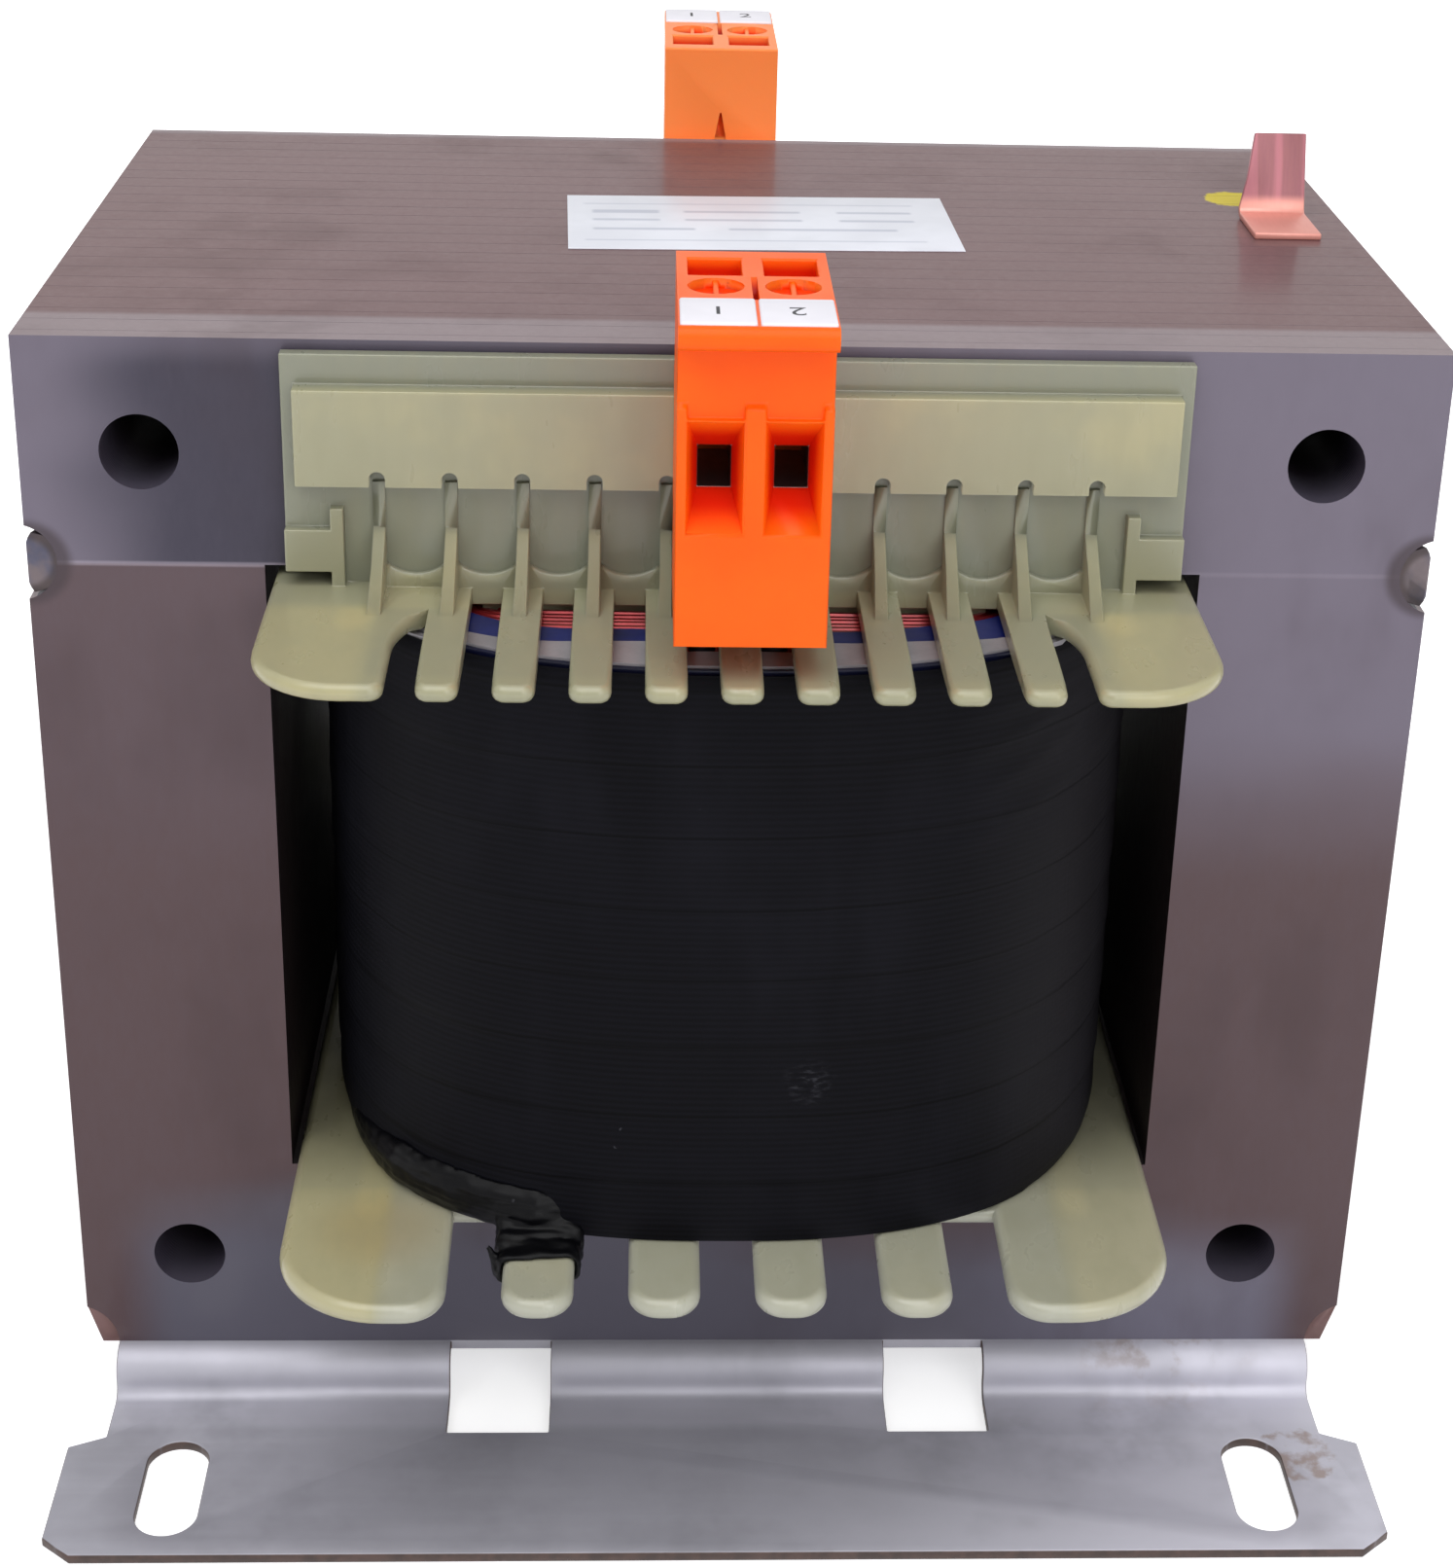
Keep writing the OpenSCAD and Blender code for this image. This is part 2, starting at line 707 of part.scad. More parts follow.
module terminal_wall() {
  along_y(-tube_out_y, -tube_in_y) {
    area(-wall_w / 2, joint_z + wall_end_lift, wall_w / 2, wall_top);
    area(-web_w / 2, top_z - top_cheek_t / 2, web_w / 2, joint_z + wall_end_lift);
  }
  along_y(-face_y - rail_out, -face_y - wall_out) rail_face();
  along_y(-face_y - pad_out, -face_y - wall_out)
    for (i = [-end_finger - 1 : end_finger]) bay_pad((i + 0.5) * pitch);
  for (i = [-end_finger - 1 : end_finger + 1]) fin(i * pitch);
  for (side = [1, -1]) scale([side, 1, 1]) side_leg();
}

module cheek_half(z, t) {
  translate([0, -face_y, z]) mirror([0, 1, 0]) linear_extrude(t) children();
}

module bobbin() {
  color("#bcbb90") difference() {
    union() {
      both_sides() {
        cheek_half(low_z, low_cheek_t) low_cheek_front();
        cheek_half(coil_top, top_cheek_t) top_cheek_front();
        terminal_wall();
      }
      block(-tube_out_x, -tube_out_y, low_z, tube_out_x, tube_out_y, top_z);
    }
    block(-tube_in_x, -tube_in_y, low_z - cut, tube_in_x, tube_in_y, top_z + cut);
  }
}

// ---------------------------------------------------------------- coil

module ring(z0, z1) {
  translate([0, 0, z0]) linear_extrude(z1 - z0) difference() {
    children(0);
    children(1);
  }
}

module primary_winding() {
  color("#9c3a36") ring(coil_low, copper_top) {
    polygon(coil_outline(primary_x, primary_y, inner_bend));
    square([2 * bore_x, 2 * bore_y], center = true);
  }
}

module interlayer_insulation() {
  color("#d9d3bd") ring(coil_low, copper_top) {
    polygon(coil_outline(primary_x + interlayer_t, primary_y + interlayer_t, inner_bend));
    polygon(coil_outline(primary_x, primary_y, inner_bend));
  }
}

module secondary_winding() {
  color("#a8403a") ring(coil_low, copper_top) {
    polygon(coil_outline(copper_x, copper_y, outer_bend));
    polygon(coil_outline(primary_x + interlayer_t, primary_y + interlayer_t, inner_bend));
  }
}

// a wrap with its upper margin folded inwards over the coil's end; z1 is the level of the fold
module folded_wrap(x, y, t, fold, z1) {
  ring(coil_low, z1) {
    polygon(coil_outline(x, y, outer_bend));
    polygon(coil_outline(x - t, y - t, outer_bend));
  }
  difference() {
    ring(z1, z1 + fold_t) {
      polygon(coil_outline(x, y, outer_bend));
      polygon(coil_outline(x - fold, y - fold, inner_bend));
    }
    both_sides() lead_slits(z1);
  }
}

module lead_slits(z) {
  for (i = [0 : poles - 1])
    translate([pole_x(i) - pitch / 4, -face_y - lead_y - lead_slit, z - cut])
      cube([pitch / 2, lead_y + lead_slit, fold_t + 2 * cut]);
}

module inner_film_wrap() {
  color("#2238a0") folded_wrap(inner_film_x, inner_film_y, inner_film_t, film_fold, copper_top);
}

module paper_wrap() {
  color("#cfc9cc") folded_wrap(paper_x, paper_y, paper_t, paper_fold, copper_top + fold_t);
}

module outer_film_wrap() {
  color("#2a3a8c") ring(coil_low, coil_high - fold_t) {
    polygon(coil_outline(outer_film_x, outer_film_y, outer_bend));
    polygon(coil_outline(paper_x, paper_y, outer_bend));
  }
}

module black_tape_wrap() {
  color("#222128") ring(coil_low, coil_high - tape_end) {
    polygon(coil_outline(tape_x, tape_y, outer_bend));
    polygon(coil_outline(outer_film_x, outer_film_y, outer_bend));
  }
}

// rolled tail of the tape along the foot of the coil, and its loop round the first lower finger
tail_sides = 10;
tail_rings = 14;
tail_from = 214;
tail_to = 249;
function beside_coil(t, r) = [
  (tape_x + r + coil_clear) * power(cos(t), 2 / outer_bend[0]),
  (tape_y + r + coil_clear) * power(sin(t), 2 / outer_bend[1]),
  coil_z + r + coil_clear
];
tail_points = [
  for (i = [0 : tail_rings - 1])
    let (
      t = tail_from + (tail_to - tail_from) * i / (tail_rings - 1),
      c = beside_coil(t, tail_r),
      ahead = beside_coil(t + 1, tail_r) - c,
      run = norm([ahead[0], ahead[1]]),
      out = [ahead[1] / run, -ahead[0] / run],
      thin = i == 0 || i == tail_rings - 1 ? 0.4 : 1
    )
    for (k = [0 : tail_sides - 1])
      let (a = 360 * k / tail_sides)
      [
        c[0] + out[0] * tail_r * thin * cos(a),
        c[1] + out[1] * tail_r * thin * cos(a),
        c[2] + tail_r * thin * sin(a)
      ]
];
tail_faces = concat(
  [[for (k = [tail_sides - 1 : -1 : 0]) k]],
  [
    for (i = [0 : tail_rings - 2], k = [0 : tail_sides - 1])
      let (a = i * tail_sides + k, b = i * tail_sides + (k + 1) % tail_sides)
      [a, b, b + tail_sides, a + tail_sides]
  ],
  [[for (k = [0 : tail_sides - 1]) (tail_rings - 1) * tail_sides + k]]
);

module tape_tail() {
  finger_x = -(low_fingers - 1) / 2 * low_finger_pitch;
  out_x = low_finger_w / 2 + loop_t;
  loop_r = 2 * loop_t;
  knot = beside_coil(tail_to, knot_r);
  color("#17161b") {
    polyhedron(tail_points, tail_faces);
    translate(knot) sphere(knot_r, $fn = 20);
    along_y(knot[1] - loop_w, knot[1]) difference() {
      area(finger_x - out_x, low_z - loop_t, finger_x + out_x, coil_z + loop_t);
      area(finger_x - low_finger_w / 2, low_z, finger_x + low_finger_w / 2, coil_z);
      for (side = [-1, 1]) {
        corner_waste(finger_x + side * out_x, coil_z + loop_t, loop_r, side, 1);
        corner_waste(finger_x + side * out_x, low_z - loop_t, loop_r, side, -1);
      }
    }
  }
}

// ---------------------------------------------------------------- leads

function pole_x(i) = (i - (poles - 1) / 2) * pitch;

module lead(x) {
  color("#a63c36") translate([x, -face_y - lead_y, copper_top])
    cylinder(d = lead_d, h = lead_top - copper_top);
}

module sleeve(x) {
  color("#26242c") translate([x, -face_y - lead_y, copper_top]) difference() {
    cylinder(d = lead_d + 2 * sleeve_wall, h = body_z - sleeve_gap - copper_top);
    translate([0, 0, -cut]) cylinder(d = lead_d, h = body_z + 2 * cut);
  }
}

// ---------------------------------------------------------------- terminals

// side outline of a terminal: distance in front of the core and height
module body_section() {
  back_top = rail_out + clip_clear;
  difference() {
    union() {
      area(body_back, body_z, body_front, rail_z);
      area(back_top, rail_z, body_front, body_top);
      area(wall_out + clip_clear, rail_top + clip_clear, back_top, rail_top + clip_clear + hook_h);
      area(body_front, lip_z, body_front + lip_out, body_top);
    }
    corner_waste(body_front + lip_out, body_top, lip_r, 1, 1);
    corner_waste(body_front + lip_out, lip_z, lip_r, 1, -1);
  }
}

// claws that grip the rail from below, between the fins
module claws() {
  for (i = [0 : poles - 1])
    translate([pole_x(i) - claw_w / 2, -face_y - body_back - cut, rail_z - clip_clear - claw_h])
      cube([claw_w, body_back + cut - wall_out - clip_clear - pad_t, claw_h]);
}

// plain panel under the lip, set back between the ribs
module panel_cut() {
  deep = body_front - rib_proud;
  along_x(-body_w / 2 - cut, body_w / 2 + cut)
    polygon([
      [deep, panel_z + rib_over], [body_front + cut, panel_z + rib_over - cut], [body_front + cut, lip_z],
      [deep, lip_z]
    ]);
  for (i = [0 : poles - 1])
    along_x(pole_x(i) - funnel_w / 2, pole_x(i) + funnel_w / 2)
      area(deep, panel_z, body_front + cut, panel_z + rib_over);
}

// a wire funnel: tapers from its mouth to the cage, from all four sides
module funnel(x) {
  deep = body_front - funnel_d;
  intersection() {
    along_x(x - funnel_w / 2, x + funnel_w / 2) polygon([
      [deep, cage_floor], [body_front, funnel_z], [body_front + cut, funnel_z], [body_front + cut, panel_z],
      [body_front, panel_z], [deep, cage_floor + cage_h]
    ]);
    translate([x, -face_y, funnel_z - cut]) mirror([0, 1, 0]) linear_extrude(funnel_h + 2 * cut) polygon([
      [-cage_w / 2, deep], [-funnel_w / 2, body_front], [-funnel_w / 2, body_front + cut],
      [funnel_w / 2, body_front + cut], [funnel_w / 2, body_front], [cage_w / 2, deep]
    ]);
  }
}

// room for one cage, its spring, its contact bar and the lead that meets the bar
module pole_chamber(x) {
  half = cage_w / 2 + cage_t + metal_clear;
  back = cage_back - metal_clear;
  along_x(x - half, x + half)
    area(back, bar_z - metal_clear, body_front - funnel_d, spring_top + metal_clear);
  channel = lead_d / 2 + metal_clear;
  along_x(x - channel - terminal_x, x + channel + terminal_x)
    area(lead_y - channel, body_z - cut, lead_y + channel, bar_z);
}

module top_details(x) {
  slot_front = body_front - release_len * 2.4;
  translate([x - release_w / 2, -face_y - slot_front, body_top - release_depth])
    cube([release_w, release_len, release_depth + cut]);
  translate([x, -face_y - slot_front - rest_d / 2 - 1.2, body_top - rest_depth]) difference() {
    cylinder(d = rest_d, h = rest_depth + cut);
    translate([-0.25, -rest_d / 2, 0]) cube([0.5, rest_d, rest_depth - 0.3]);
  }
}

module tag_outline(x) {
  half = pitch / 2 - tag_gap;
  front = body_front + lip_out - lip_r;
  area(x - half, front - tag_len, x + half, front);
}

module terminal_body() {
  color("#ff6a1e") difference() {
    union() {
      along_x(-body_w / 2, body_w / 2) body_section();
      claws();
    }
    panel_cut();
    for (i = [0 : poles - 1]) {
      funnel(pole_x(i));
      pole_chamber(pole_x(i));
      top_details(pole_x(i));
      translate([0, -face_y, body_top - tag_seat]) mirror([0, 1, 0])
        linear_extrude(tag_seat + cut) tag_outline(pole_x(i));
    }
  }
}

module clamp_cages() {
  half = cage_w / 2 + cage_t;
  color("#8b8582") for (i = [0 : poles - 1])
    along_y(-face_y - body_front + funnel_d, -face_y - cage_back) translate([pole_x(i), 0]) difference() {
      area(-half, cage_z, half, cage_top);
      area(-cage_w / 2, cage_floor, cage_w / 2, cage_floor + cage_h);
    }
}

// a leaf spring folded into a loop, resting on the roof of its cage
module clamp_springs() {
  r = spring_h / 2;
  mid_z = cage_top + r;
  front = body_front - funnel_d - metal_clear - r;
  back = cage_back + r;
  color("#b9b6b2") for (i = [0 : poles - 1])
    along_x(pole_x(i) - cage_w / 2, pole_x(i) + cage_w / 2) difference() {
      union() {
        area(back, mid_z - r, front, mid_z + r);
        translate([back, mid_z]) circle(r);
        translate([front, mid_z]) circle(r);
      }
      area(back, mid_z - r + cage_t, front, mid_z + r - cage_t);
      translate([back, mid_z]) circle(r - cage_t);
      translate([front, mid_z]) circle(r - cage_t);
      area(front - r, mid_z - r - cut, front - r + 1, mid_z);
    }
}

// a bar under the cage, turned down to meet the lead
module contact_bars() {
  color("#c08a4a") for (i = [0 : poles - 1])
    along_x(pole_x(i) - lead_d / 2, pole_x(i) + lead_d / 2) {
      area(lead_y - cage_t / 2, cage_z - cage_t, body_front - funnel_d - cut, cage_z);
      area(lead_y - cage_t / 2, lead_top, lead_y + cage_t / 2, cage_z);
    }
}

module marker(i) {
  color("#e9e7ee") translate([0, -face_y, body_top - tag_seat]) mirror([0, 1, 0])
    linear_extrude(tag_t) tag_outline(pole_x(i));
}

module at_front() { translate([terminal_x, 0, 0]) children(); }
module at_rear() { rotate([0, 0, 180]) children(); }

// ---------------------------------------------------------------- earth tab and label

module earth_tab() {
  bend_out = tab_bend_r + tab_t;
  turn = 90 - tab_lean;
  taper = tab_foot_w - tab_blade_w;
  color("#d98f80") translate([core_x - tab_inset - tab_foot_w / 2, -face_y + tab_y, core_top]) {
    translate([-tab_foot_w / 2, 0, 0]) cube([tab_foot_w, tab_foot_len, tab_t]);
    translate([0, tab_foot_len, bend_out]) {
      translate([-tab_foot_w / 2, 0, 0]) rotate([0, 90, 0])
        rotate_extrude(angle = turn) translate([tab_bend_r, 0]) square([tab_t, tab_foot_w]);
      rotate([turn, 0, 0]) translate([0, 0, -bend_out]) linear_extrude(tab_t) polygon([
        [-tab_foot_w / 2, 0], [tab_foot_w / 2, 0], [tab_foot_w / 2, tab_blade_len],
        [tab_foot_w / 2 - tab_blade_w, tab_blade_len], [tab_foot_w / 2 - tab_blade_w - taper / 2, taper * 2]
      ]);
    }
  }
}

module rating_label() {
  color("#d6d9e3") translate([label_x, label_y, core_top]) rotate([0, 0, label_turn])
    translate([-label_w / 2, -label_h / 2, 0]) cube([label_w, label_h, label_t]);
}

// ---------------------------------------------------------------- nodes

e_lamination_stack();
i_lamination_stack();
joint_weld(-1);  // joint_weld_left
joint_weld(1);  // joint_weld_right
base_weld(-1);  // base_weld_left
base_weld(1);  // base_weld_right
front_foot();
rear_foot();
bobbin();
primary_winding();
interlayer_insulation();
secondary_winding();
inner_film_wrap();
paper_wrap();
outer_film_wrap();
black_tape_wrap();
tape_tail();
lead(pole_x(0));  // front_left_lead
lead(pole_x(poles - 1));  // front_right_lead
at_rear() lead(pole_x(poles - 1));  // rear_left_lead
at_rear() lead(pole_x(0));  // rear_right_lead
sleeve(pole_x(0));  // front_left_sleeve
sleeve(pole_x(poles - 1));  // front_right_sleeve
at_rear() sleeve(pole_x(poles - 1));  // rear_left_sleeve
at_rear() sleeve(pole_x(0));  // rear_right_sleeve
at_front() terminal_body();  // front_terminal_body
at_rear() terminal_body();  // rear_terminal_body
at_front() clamp_cages();  // front_clamp_cages
at_rear() clamp_cages();  // rear_clamp_cages
at_front() clamp_springs();  // front_clamp_springs
at_rear() clamp_springs();  // rear_clamp_springs
at_front() contact_bars();  // front_contact_bars
at_rear() contact_bars();  // rear_contact_bars
at_front() marker(0);  // front_marker_left
at_front() marker(poles - 1);  // front_marker_right
at_rear() marker(poles - 1);  // rear_marker_left
at_rear() marker(0);  // rear_marker_right
earth_tab();
rating_label();
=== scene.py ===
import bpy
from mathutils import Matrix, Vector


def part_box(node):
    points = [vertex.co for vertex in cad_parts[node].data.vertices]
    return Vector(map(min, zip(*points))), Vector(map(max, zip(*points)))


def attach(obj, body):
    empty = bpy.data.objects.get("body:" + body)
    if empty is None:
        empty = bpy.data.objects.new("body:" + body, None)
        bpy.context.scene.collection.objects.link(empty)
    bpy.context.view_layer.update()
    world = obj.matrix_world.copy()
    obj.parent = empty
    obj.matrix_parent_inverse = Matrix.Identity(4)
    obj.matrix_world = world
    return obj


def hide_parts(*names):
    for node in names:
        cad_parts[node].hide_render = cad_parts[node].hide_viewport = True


bl_info = {
    "name": "Chassis transformer",
    "version": (1, 0, 0),
    "blender": (4, 5, 0),
    "location": "View3D > Sidebar > Transformer",
    "description": "Dresses an open-frame laminated transformer in its finishes and small detail",
    "category": "Add Mesh",
}

import math

import bpy
from mathutils import Matrix, Vector, noise

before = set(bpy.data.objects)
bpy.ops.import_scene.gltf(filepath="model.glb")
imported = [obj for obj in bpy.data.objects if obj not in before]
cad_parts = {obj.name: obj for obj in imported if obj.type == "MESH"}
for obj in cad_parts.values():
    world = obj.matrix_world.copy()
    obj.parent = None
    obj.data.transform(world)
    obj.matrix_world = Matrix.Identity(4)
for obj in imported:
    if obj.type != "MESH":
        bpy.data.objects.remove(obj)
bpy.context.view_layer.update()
BODY = "root"
MM = 0.001

# levels and faces that the pieces share, read from the frame
CORE_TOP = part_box("i_lamination_stack")[1].z
CORE_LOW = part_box("e_lamination_stack")[0].z
CORE_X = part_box("i_lamination_stack")[1].x
FACE_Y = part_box("i_lamination_stack")[1].y
YOKE = 25 * MM
JOINT = CORE_TOP - YOKE
SLOT_X = CORE_X - YOKE / 2
HALF_PITCH = 3.75 * MM
GROOVE = 0.1 * MM
TIGHT = 0.002 * MM
TAPE_LOW, TAPE_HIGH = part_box("black_tape_wrap")
COPPER_LOW, COPPER_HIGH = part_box("secondary_winding")
PRIMARY_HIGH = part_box("primary_winding")[1]
WALL_Y = FACE_Y + 1.9 * MM
BORE = (27.1 * MM, 48.1 * MM)
COIL_LOW, COIL_TOP, CHEEK_TOP = 34.3 * MM, 103.5 * MM, 105.4 * MM
OUTER_BEND = (2.5, 3.9)
INNER_BEND = (4.0, 8.0)
BORE_BEND = (14.0, 18.0)

# the view: focal length, frame and optical centre share one unit; the sensor is in millimetres
FOCAL, FRAME, CENTRE, SENSOR = 2924.6, (1494, 1612), (790, 660), 36

# rules and bars on the label: middle across and along, width and height, in millimetres
LABEL_BARS = (
    (-1.0, 8.2, 40.0, 0.35),
    (-1.0, -8.4, 40.0, 0.35),
    (-16.0, 4.6, 8.0, 1.5),
    (-2.0, 4.6, 14.0, 0.9),
    (14.0, 4.6, 9.0, 0.9),
    (-16.0, 0.8, 8.0, 0.9),
    (-2.0, 0.8, 14.0, 0.9),
    (14.0, 0.8, 9.0, 0.9),
    (-14.0, -3.4, 12.0, 0.9),
    (6.0, -3.4, 20.0, 0.9),
)


def paint(code):
    """A colour written as six hexadecimal digits, as the linear values that a shader takes."""
    channels = [int(code[i : i + 2], 16) / 255 for i in (0, 2, 4)]
    return tuple(c / 12.92 if c <= 0.04045 else ((c + 0.055) / 1.055) ** 2.4 for c in channels)


def toned(tone, share):
    """A colour made darker or lighter by a share."""
    return [min(1, c * share) for c in tone]


# ---------------------------------------------------------------- sizes and colours


def colour(name, description, code):
    return bpy.props.FloatVectorProperty(
        name=name, description=description, subtype="COLOR", size=3, min=0, max=1, default=paint(code)
    )


def length(name, description, millimetres):
    return bpy.props.FloatProperty(
        name=name, description=description, unit="LENGTH", min=0, precision=5, default=millimetres * MM
    )


def strength(name, description, default):
    return bpy.props.FloatProperty(name=name, description=description, min=0, default=default)


class TransformerCoreSettings(bpy.types.PropertyGroup):
    plate: colour("Plate", "Rolled face of the outermost sheet", "4c393a")
    # Pale plate: painted reflection, bluish and pale, on the upper part and right side of the outermost
    # sheet; the fine grain is also mixed towards this colour.
    plate_pale: colour("Plate sheen and grain", "Bluish upper part of the outermost sheet", "696270")
    plate_dark: colour("Dark plate", "Shaded part of the yoke beside the bobbin", "2f2c3b")
    # Low plate: painted bluish reflection along the foot of the outermost sheet.
    plate_low: colour("Low plate", "Bluish foot of the outermost sheet", "565460")
    edge: colour("Sheet edges", "Cut edges of the stacked sheets", "644648")
    # Pale sheet edges: the top is lighter in a strip along its front edge, and carries a painted glow along
    # its back edge.
    edge_pale: colour("Pale sheet edges", "Lighter strip along the front of the top, with painted glow along its back", "7f7074")
    foot: colour("Foot", "Bent sheet of the feet", "a4a3ad")
    cut_edge: colour("Foot edges", "Sheared edges of the feet", "4a3630")
    bead: colour("Bead", "Weld beads", "645a5d")
    bead_low: colour("Low bead", "Heat-tinted beads at the foot of the core", "6e4f4c")
    dab: colour("Paint dab", "Inspection dab beside the earth tab", "c9b62c")
    dab_radius: length("Dab radius", "Radius of the inspection dab", 3.5)
    sheet: length("Sheet", "Thickness of one sheet of the stack", 0.5)
    foot_edge: length("Foot edge", "Rounding of the sheared edges of the feet", 0.18)
    swell: length("Bead swell", "How far the crown of a joint bead stands over its solid", 0.9)
    ripple: length("Bead ripple", "Height of the ripples on a weld bead", 0.16)
    top_groove: length("Top groove", "Depth left in the grooves between packets on the ground top", 0.012)


class TransformerCoilSettings(bpy.types.PropertyGroup):
    resin: colour("Bobbin", "Natural nylon of the bobbin", "9b997c")
    resin_warm: colour("Warm bobbin", "Thick and aged parts of the bobbin", "bbb182")
    resin_cold: colour("Cold bobbin", "Lower fingers and the lower right lobe", "aeafa4")
    resin_thin: colour("Thin bobbin", "Thin walls of the bobbin, which let the dark core through", "7c7f70")
    tape: colour("Tape", "Black wrapping tape", "07070a")
    enamel: colour("Enamel", "Enamel on the copper wire", "9a2a2e")
    film: colour("Film", "Blue insulating film between copper and paper", "0b1a62")
    film_dark: colour("Outer film", "Darker film under the tape", "101330")
    paper: colour("Paper", "Insulating paper", "8f8b90")
    wire: length("Wire", "Diameter of the enamelled wire", 0.94)
    bobbin_edge: length("Bobbin edge", "Rounding of the walls and ribs of the bobbin", 0.4)
    top_rim: length("Top rim", "Rounding of the rims of the upper cheek", 0.85)
    low_rim: length("Low rim", "Rounding of the rims of the lower cheek", 1.15)
    tape_step: length("Tape step", "Step at each overlap of the tape", 0.16)
    tape_band: length("Tape band", "Height of one visible band of tape", 8.4)


class TransformerTerminalSettings(bpy.types.PropertyGroup):
    shell: colour("Shell", "Moulded shell of the terminals", "ff6408")
    # Deep shell: painted shade in the funnels and recesses of the terminals.
    shell_deep: colour("Shell hollow shade", "Painted shade in the funnels and recesses of the terminals", "dc1a00")
    clamp: colour("Clamp", "Plated clamp cages and springs", "74605d")
    contact: colour("Contact", "Contact bars", "c98d5b")
    sleeve: colour("Sleeve", "Sleeves on the leads", "25232b")
    tag: colour("Tag", "Marker tags", "e6e4ec")
    numeral: colour("Numeral", "Numbers on the marker tags", "26252b")
    tab: colour("Earth tab", "Plated earth tab", "dd988c")
    # Tab blade: painted shade on the upright blade, while the lit foot keeps the plain plated colour.
    tab_dark: colour("Tab blade", "Painted shade on the upright blade of the earth tab, with streaks", "7a4852")
    label: colour("Label", "Satin label film", "dfe1ea")
    label_ink: colour("Label ink", "Rules and bars on the label", "a9adbd")
    shell_edge: length("Shell edge", "Rounding of the moulded edges of the terminals", 0.28)


class TransformerStageSettings(bpy.types.PropertyGroup):
    floor: colour("Floor", "Pale floor", "f4f4f6")
    overhead: strength("Overhead", "Power of the soft overhead lamp", 1.0)
    side: strength("Side", "Power of the soft side lamp", 0.5)
    sky: strength("Surroundings", "Strength of the even light all round", 0.42)


# ---------------------------------------------------------------- modelling helpers


def let_go():
    """Back to object mode with nothing selected."""
    if bpy.context.mode != "OBJECT":
        bpy.ops.object.mode_set(mode="OBJECT")
    bpy.ops.object.select_all(action="DESELECT")


def take(piece):
    let_go()
    piece.select_set(True)
    bpy.context.view_layer.objects.active = piece
    return piece


def edit(piece, mode="VERT"):
    take(piece)
    bpy.ops.object.mode_set(mode="EDIT")
    bpy.ops.mesh.select_mode(type=mode)
    bpy.ops.mesh.select_all(action="DESELECT")


def pick(piece, kind, test):
    """Selects the vertices, edges or faces that pass the test, in edit mode."""
    bpy.ops.object.mode_set(mode="OBJECT")
    mesh = piece.data
    for element in getattr(mesh, kind):
        element.select = bool(test(element))
    bpy.ops.object.mode_set(mode="EDIT")


def merged_copy(node, name, tidy=0.5):
    """A new piece from a node's solid: its loose triangles merged, flat faces made whole."""
    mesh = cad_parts[node].data.copy()
    mesh.materials.clear()
    piece = bpy.data.objects.new(name, mesh)
    bpy.context.scene.collection.objects.link(piece)
    edit(piece)
    bpy.ops.mesh.select_all(action="SELECT")
    bpy.ops.mesh.remove_doubles(threshold=TIGHT)
    if tidy:
        bpy.ops.mesh.dissolve_limited(angle_limit=math.radians(tidy))
    let_go()
    return piece


def modify(piece, kind, **settings):
    """Adds a modifier and applies it."""
    take(piece)
    made = piece.modifiers.new(kind.title(), kind)
    for key, value in settings.items():
        setattr(made, key, value)
    bpy.ops.object.modifier_apply(modifier=made.name)
    return piece


def round_edges(piece, width, segments=2, angle=50):
    return modify(
        piece, "BEVEL", width=width, segments=segments, limit_method="ANGLE",
        angle_limit=math.radians(angle), harden_normals=False, use_clamp_overlap=True,
        miter_outer="MITER_ARC",
    )


def faces_beside(piece):
    """The faces on each side of each edge, by the edge's pair of points."""
    beside = {}
    for face in piece.data.polygons:
        for key in face.edge_keys:
            beside.setdefault(key, []).append(face)
    return beside


def halve(piece, *places):
    """Cuts the skin by planes across X, so that a flat face round an opening joins up only there."""
    edit(piece, "EDGE")
    for place in places:
        bpy.ops.mesh.select_all(action="SELECT")
        bpy.ops.mesh.bisect(plane_co=(place, 0, 0), plane_no=(1, 0, 0))
    bpy.ops.object.mode_set(mode="OBJECT")
    points = piece.data.vertices

    def off_planes(key):
        return all(max(abs(points[i].co.x - place) for i in key) > 0.02 * MM for place in places)

    keys = {
        key for key, faces in faces_beside(piece).items()
        if len(faces) == 2 and faces[0].normal.dot(faces[1].normal) > 0.99999 and off_planes(key)
    }
    pick(piece, "edges", lambda e: tuple(sorted(e.vertices)) in keys)
    bpy.ops.mesh.dissolve_edges(use_verts=False)
    let_go()
    return piece


def soften(piece, width, shortest, where=lambda a, b: True):
    """Rounds the sharp edges that no edge shorter than this meets, where the test on their two ends holds."""
    points, least = piece.data.vertices, {}
    for edge in piece.data.edges:
        a, b = edge.vertices
        run = (points[a].co - points[b].co).length
        least[a], least[b] = min(least.get(a, run), run), min(least.get(b, run), run)

    def sharp(faces):
        return len(faces) == 2 and faces[0].normal.angle(faces[1].normal) > math.radians(50)

    keys = {
        key for key, faces in faces_beside(piece).items()
        if sharp(faces) and min(least[i] for i in key) > shortest and where(*(points[i].co for i in key))
    }
    return bevel_edges(piece, keys, width, 2)


def bevel_edges(piece, keys, width, segments, clamp=True):
    edit(piece, "EDGE")
    pick(piece, "edges", lambda e: tuple(sorted(e.vertices)) in keys)
    bpy.ops.mesh.bevel(offset=width, segments=segments, affect="EDGES", clamp_overlap=clamp)
    let_go()
    return piece


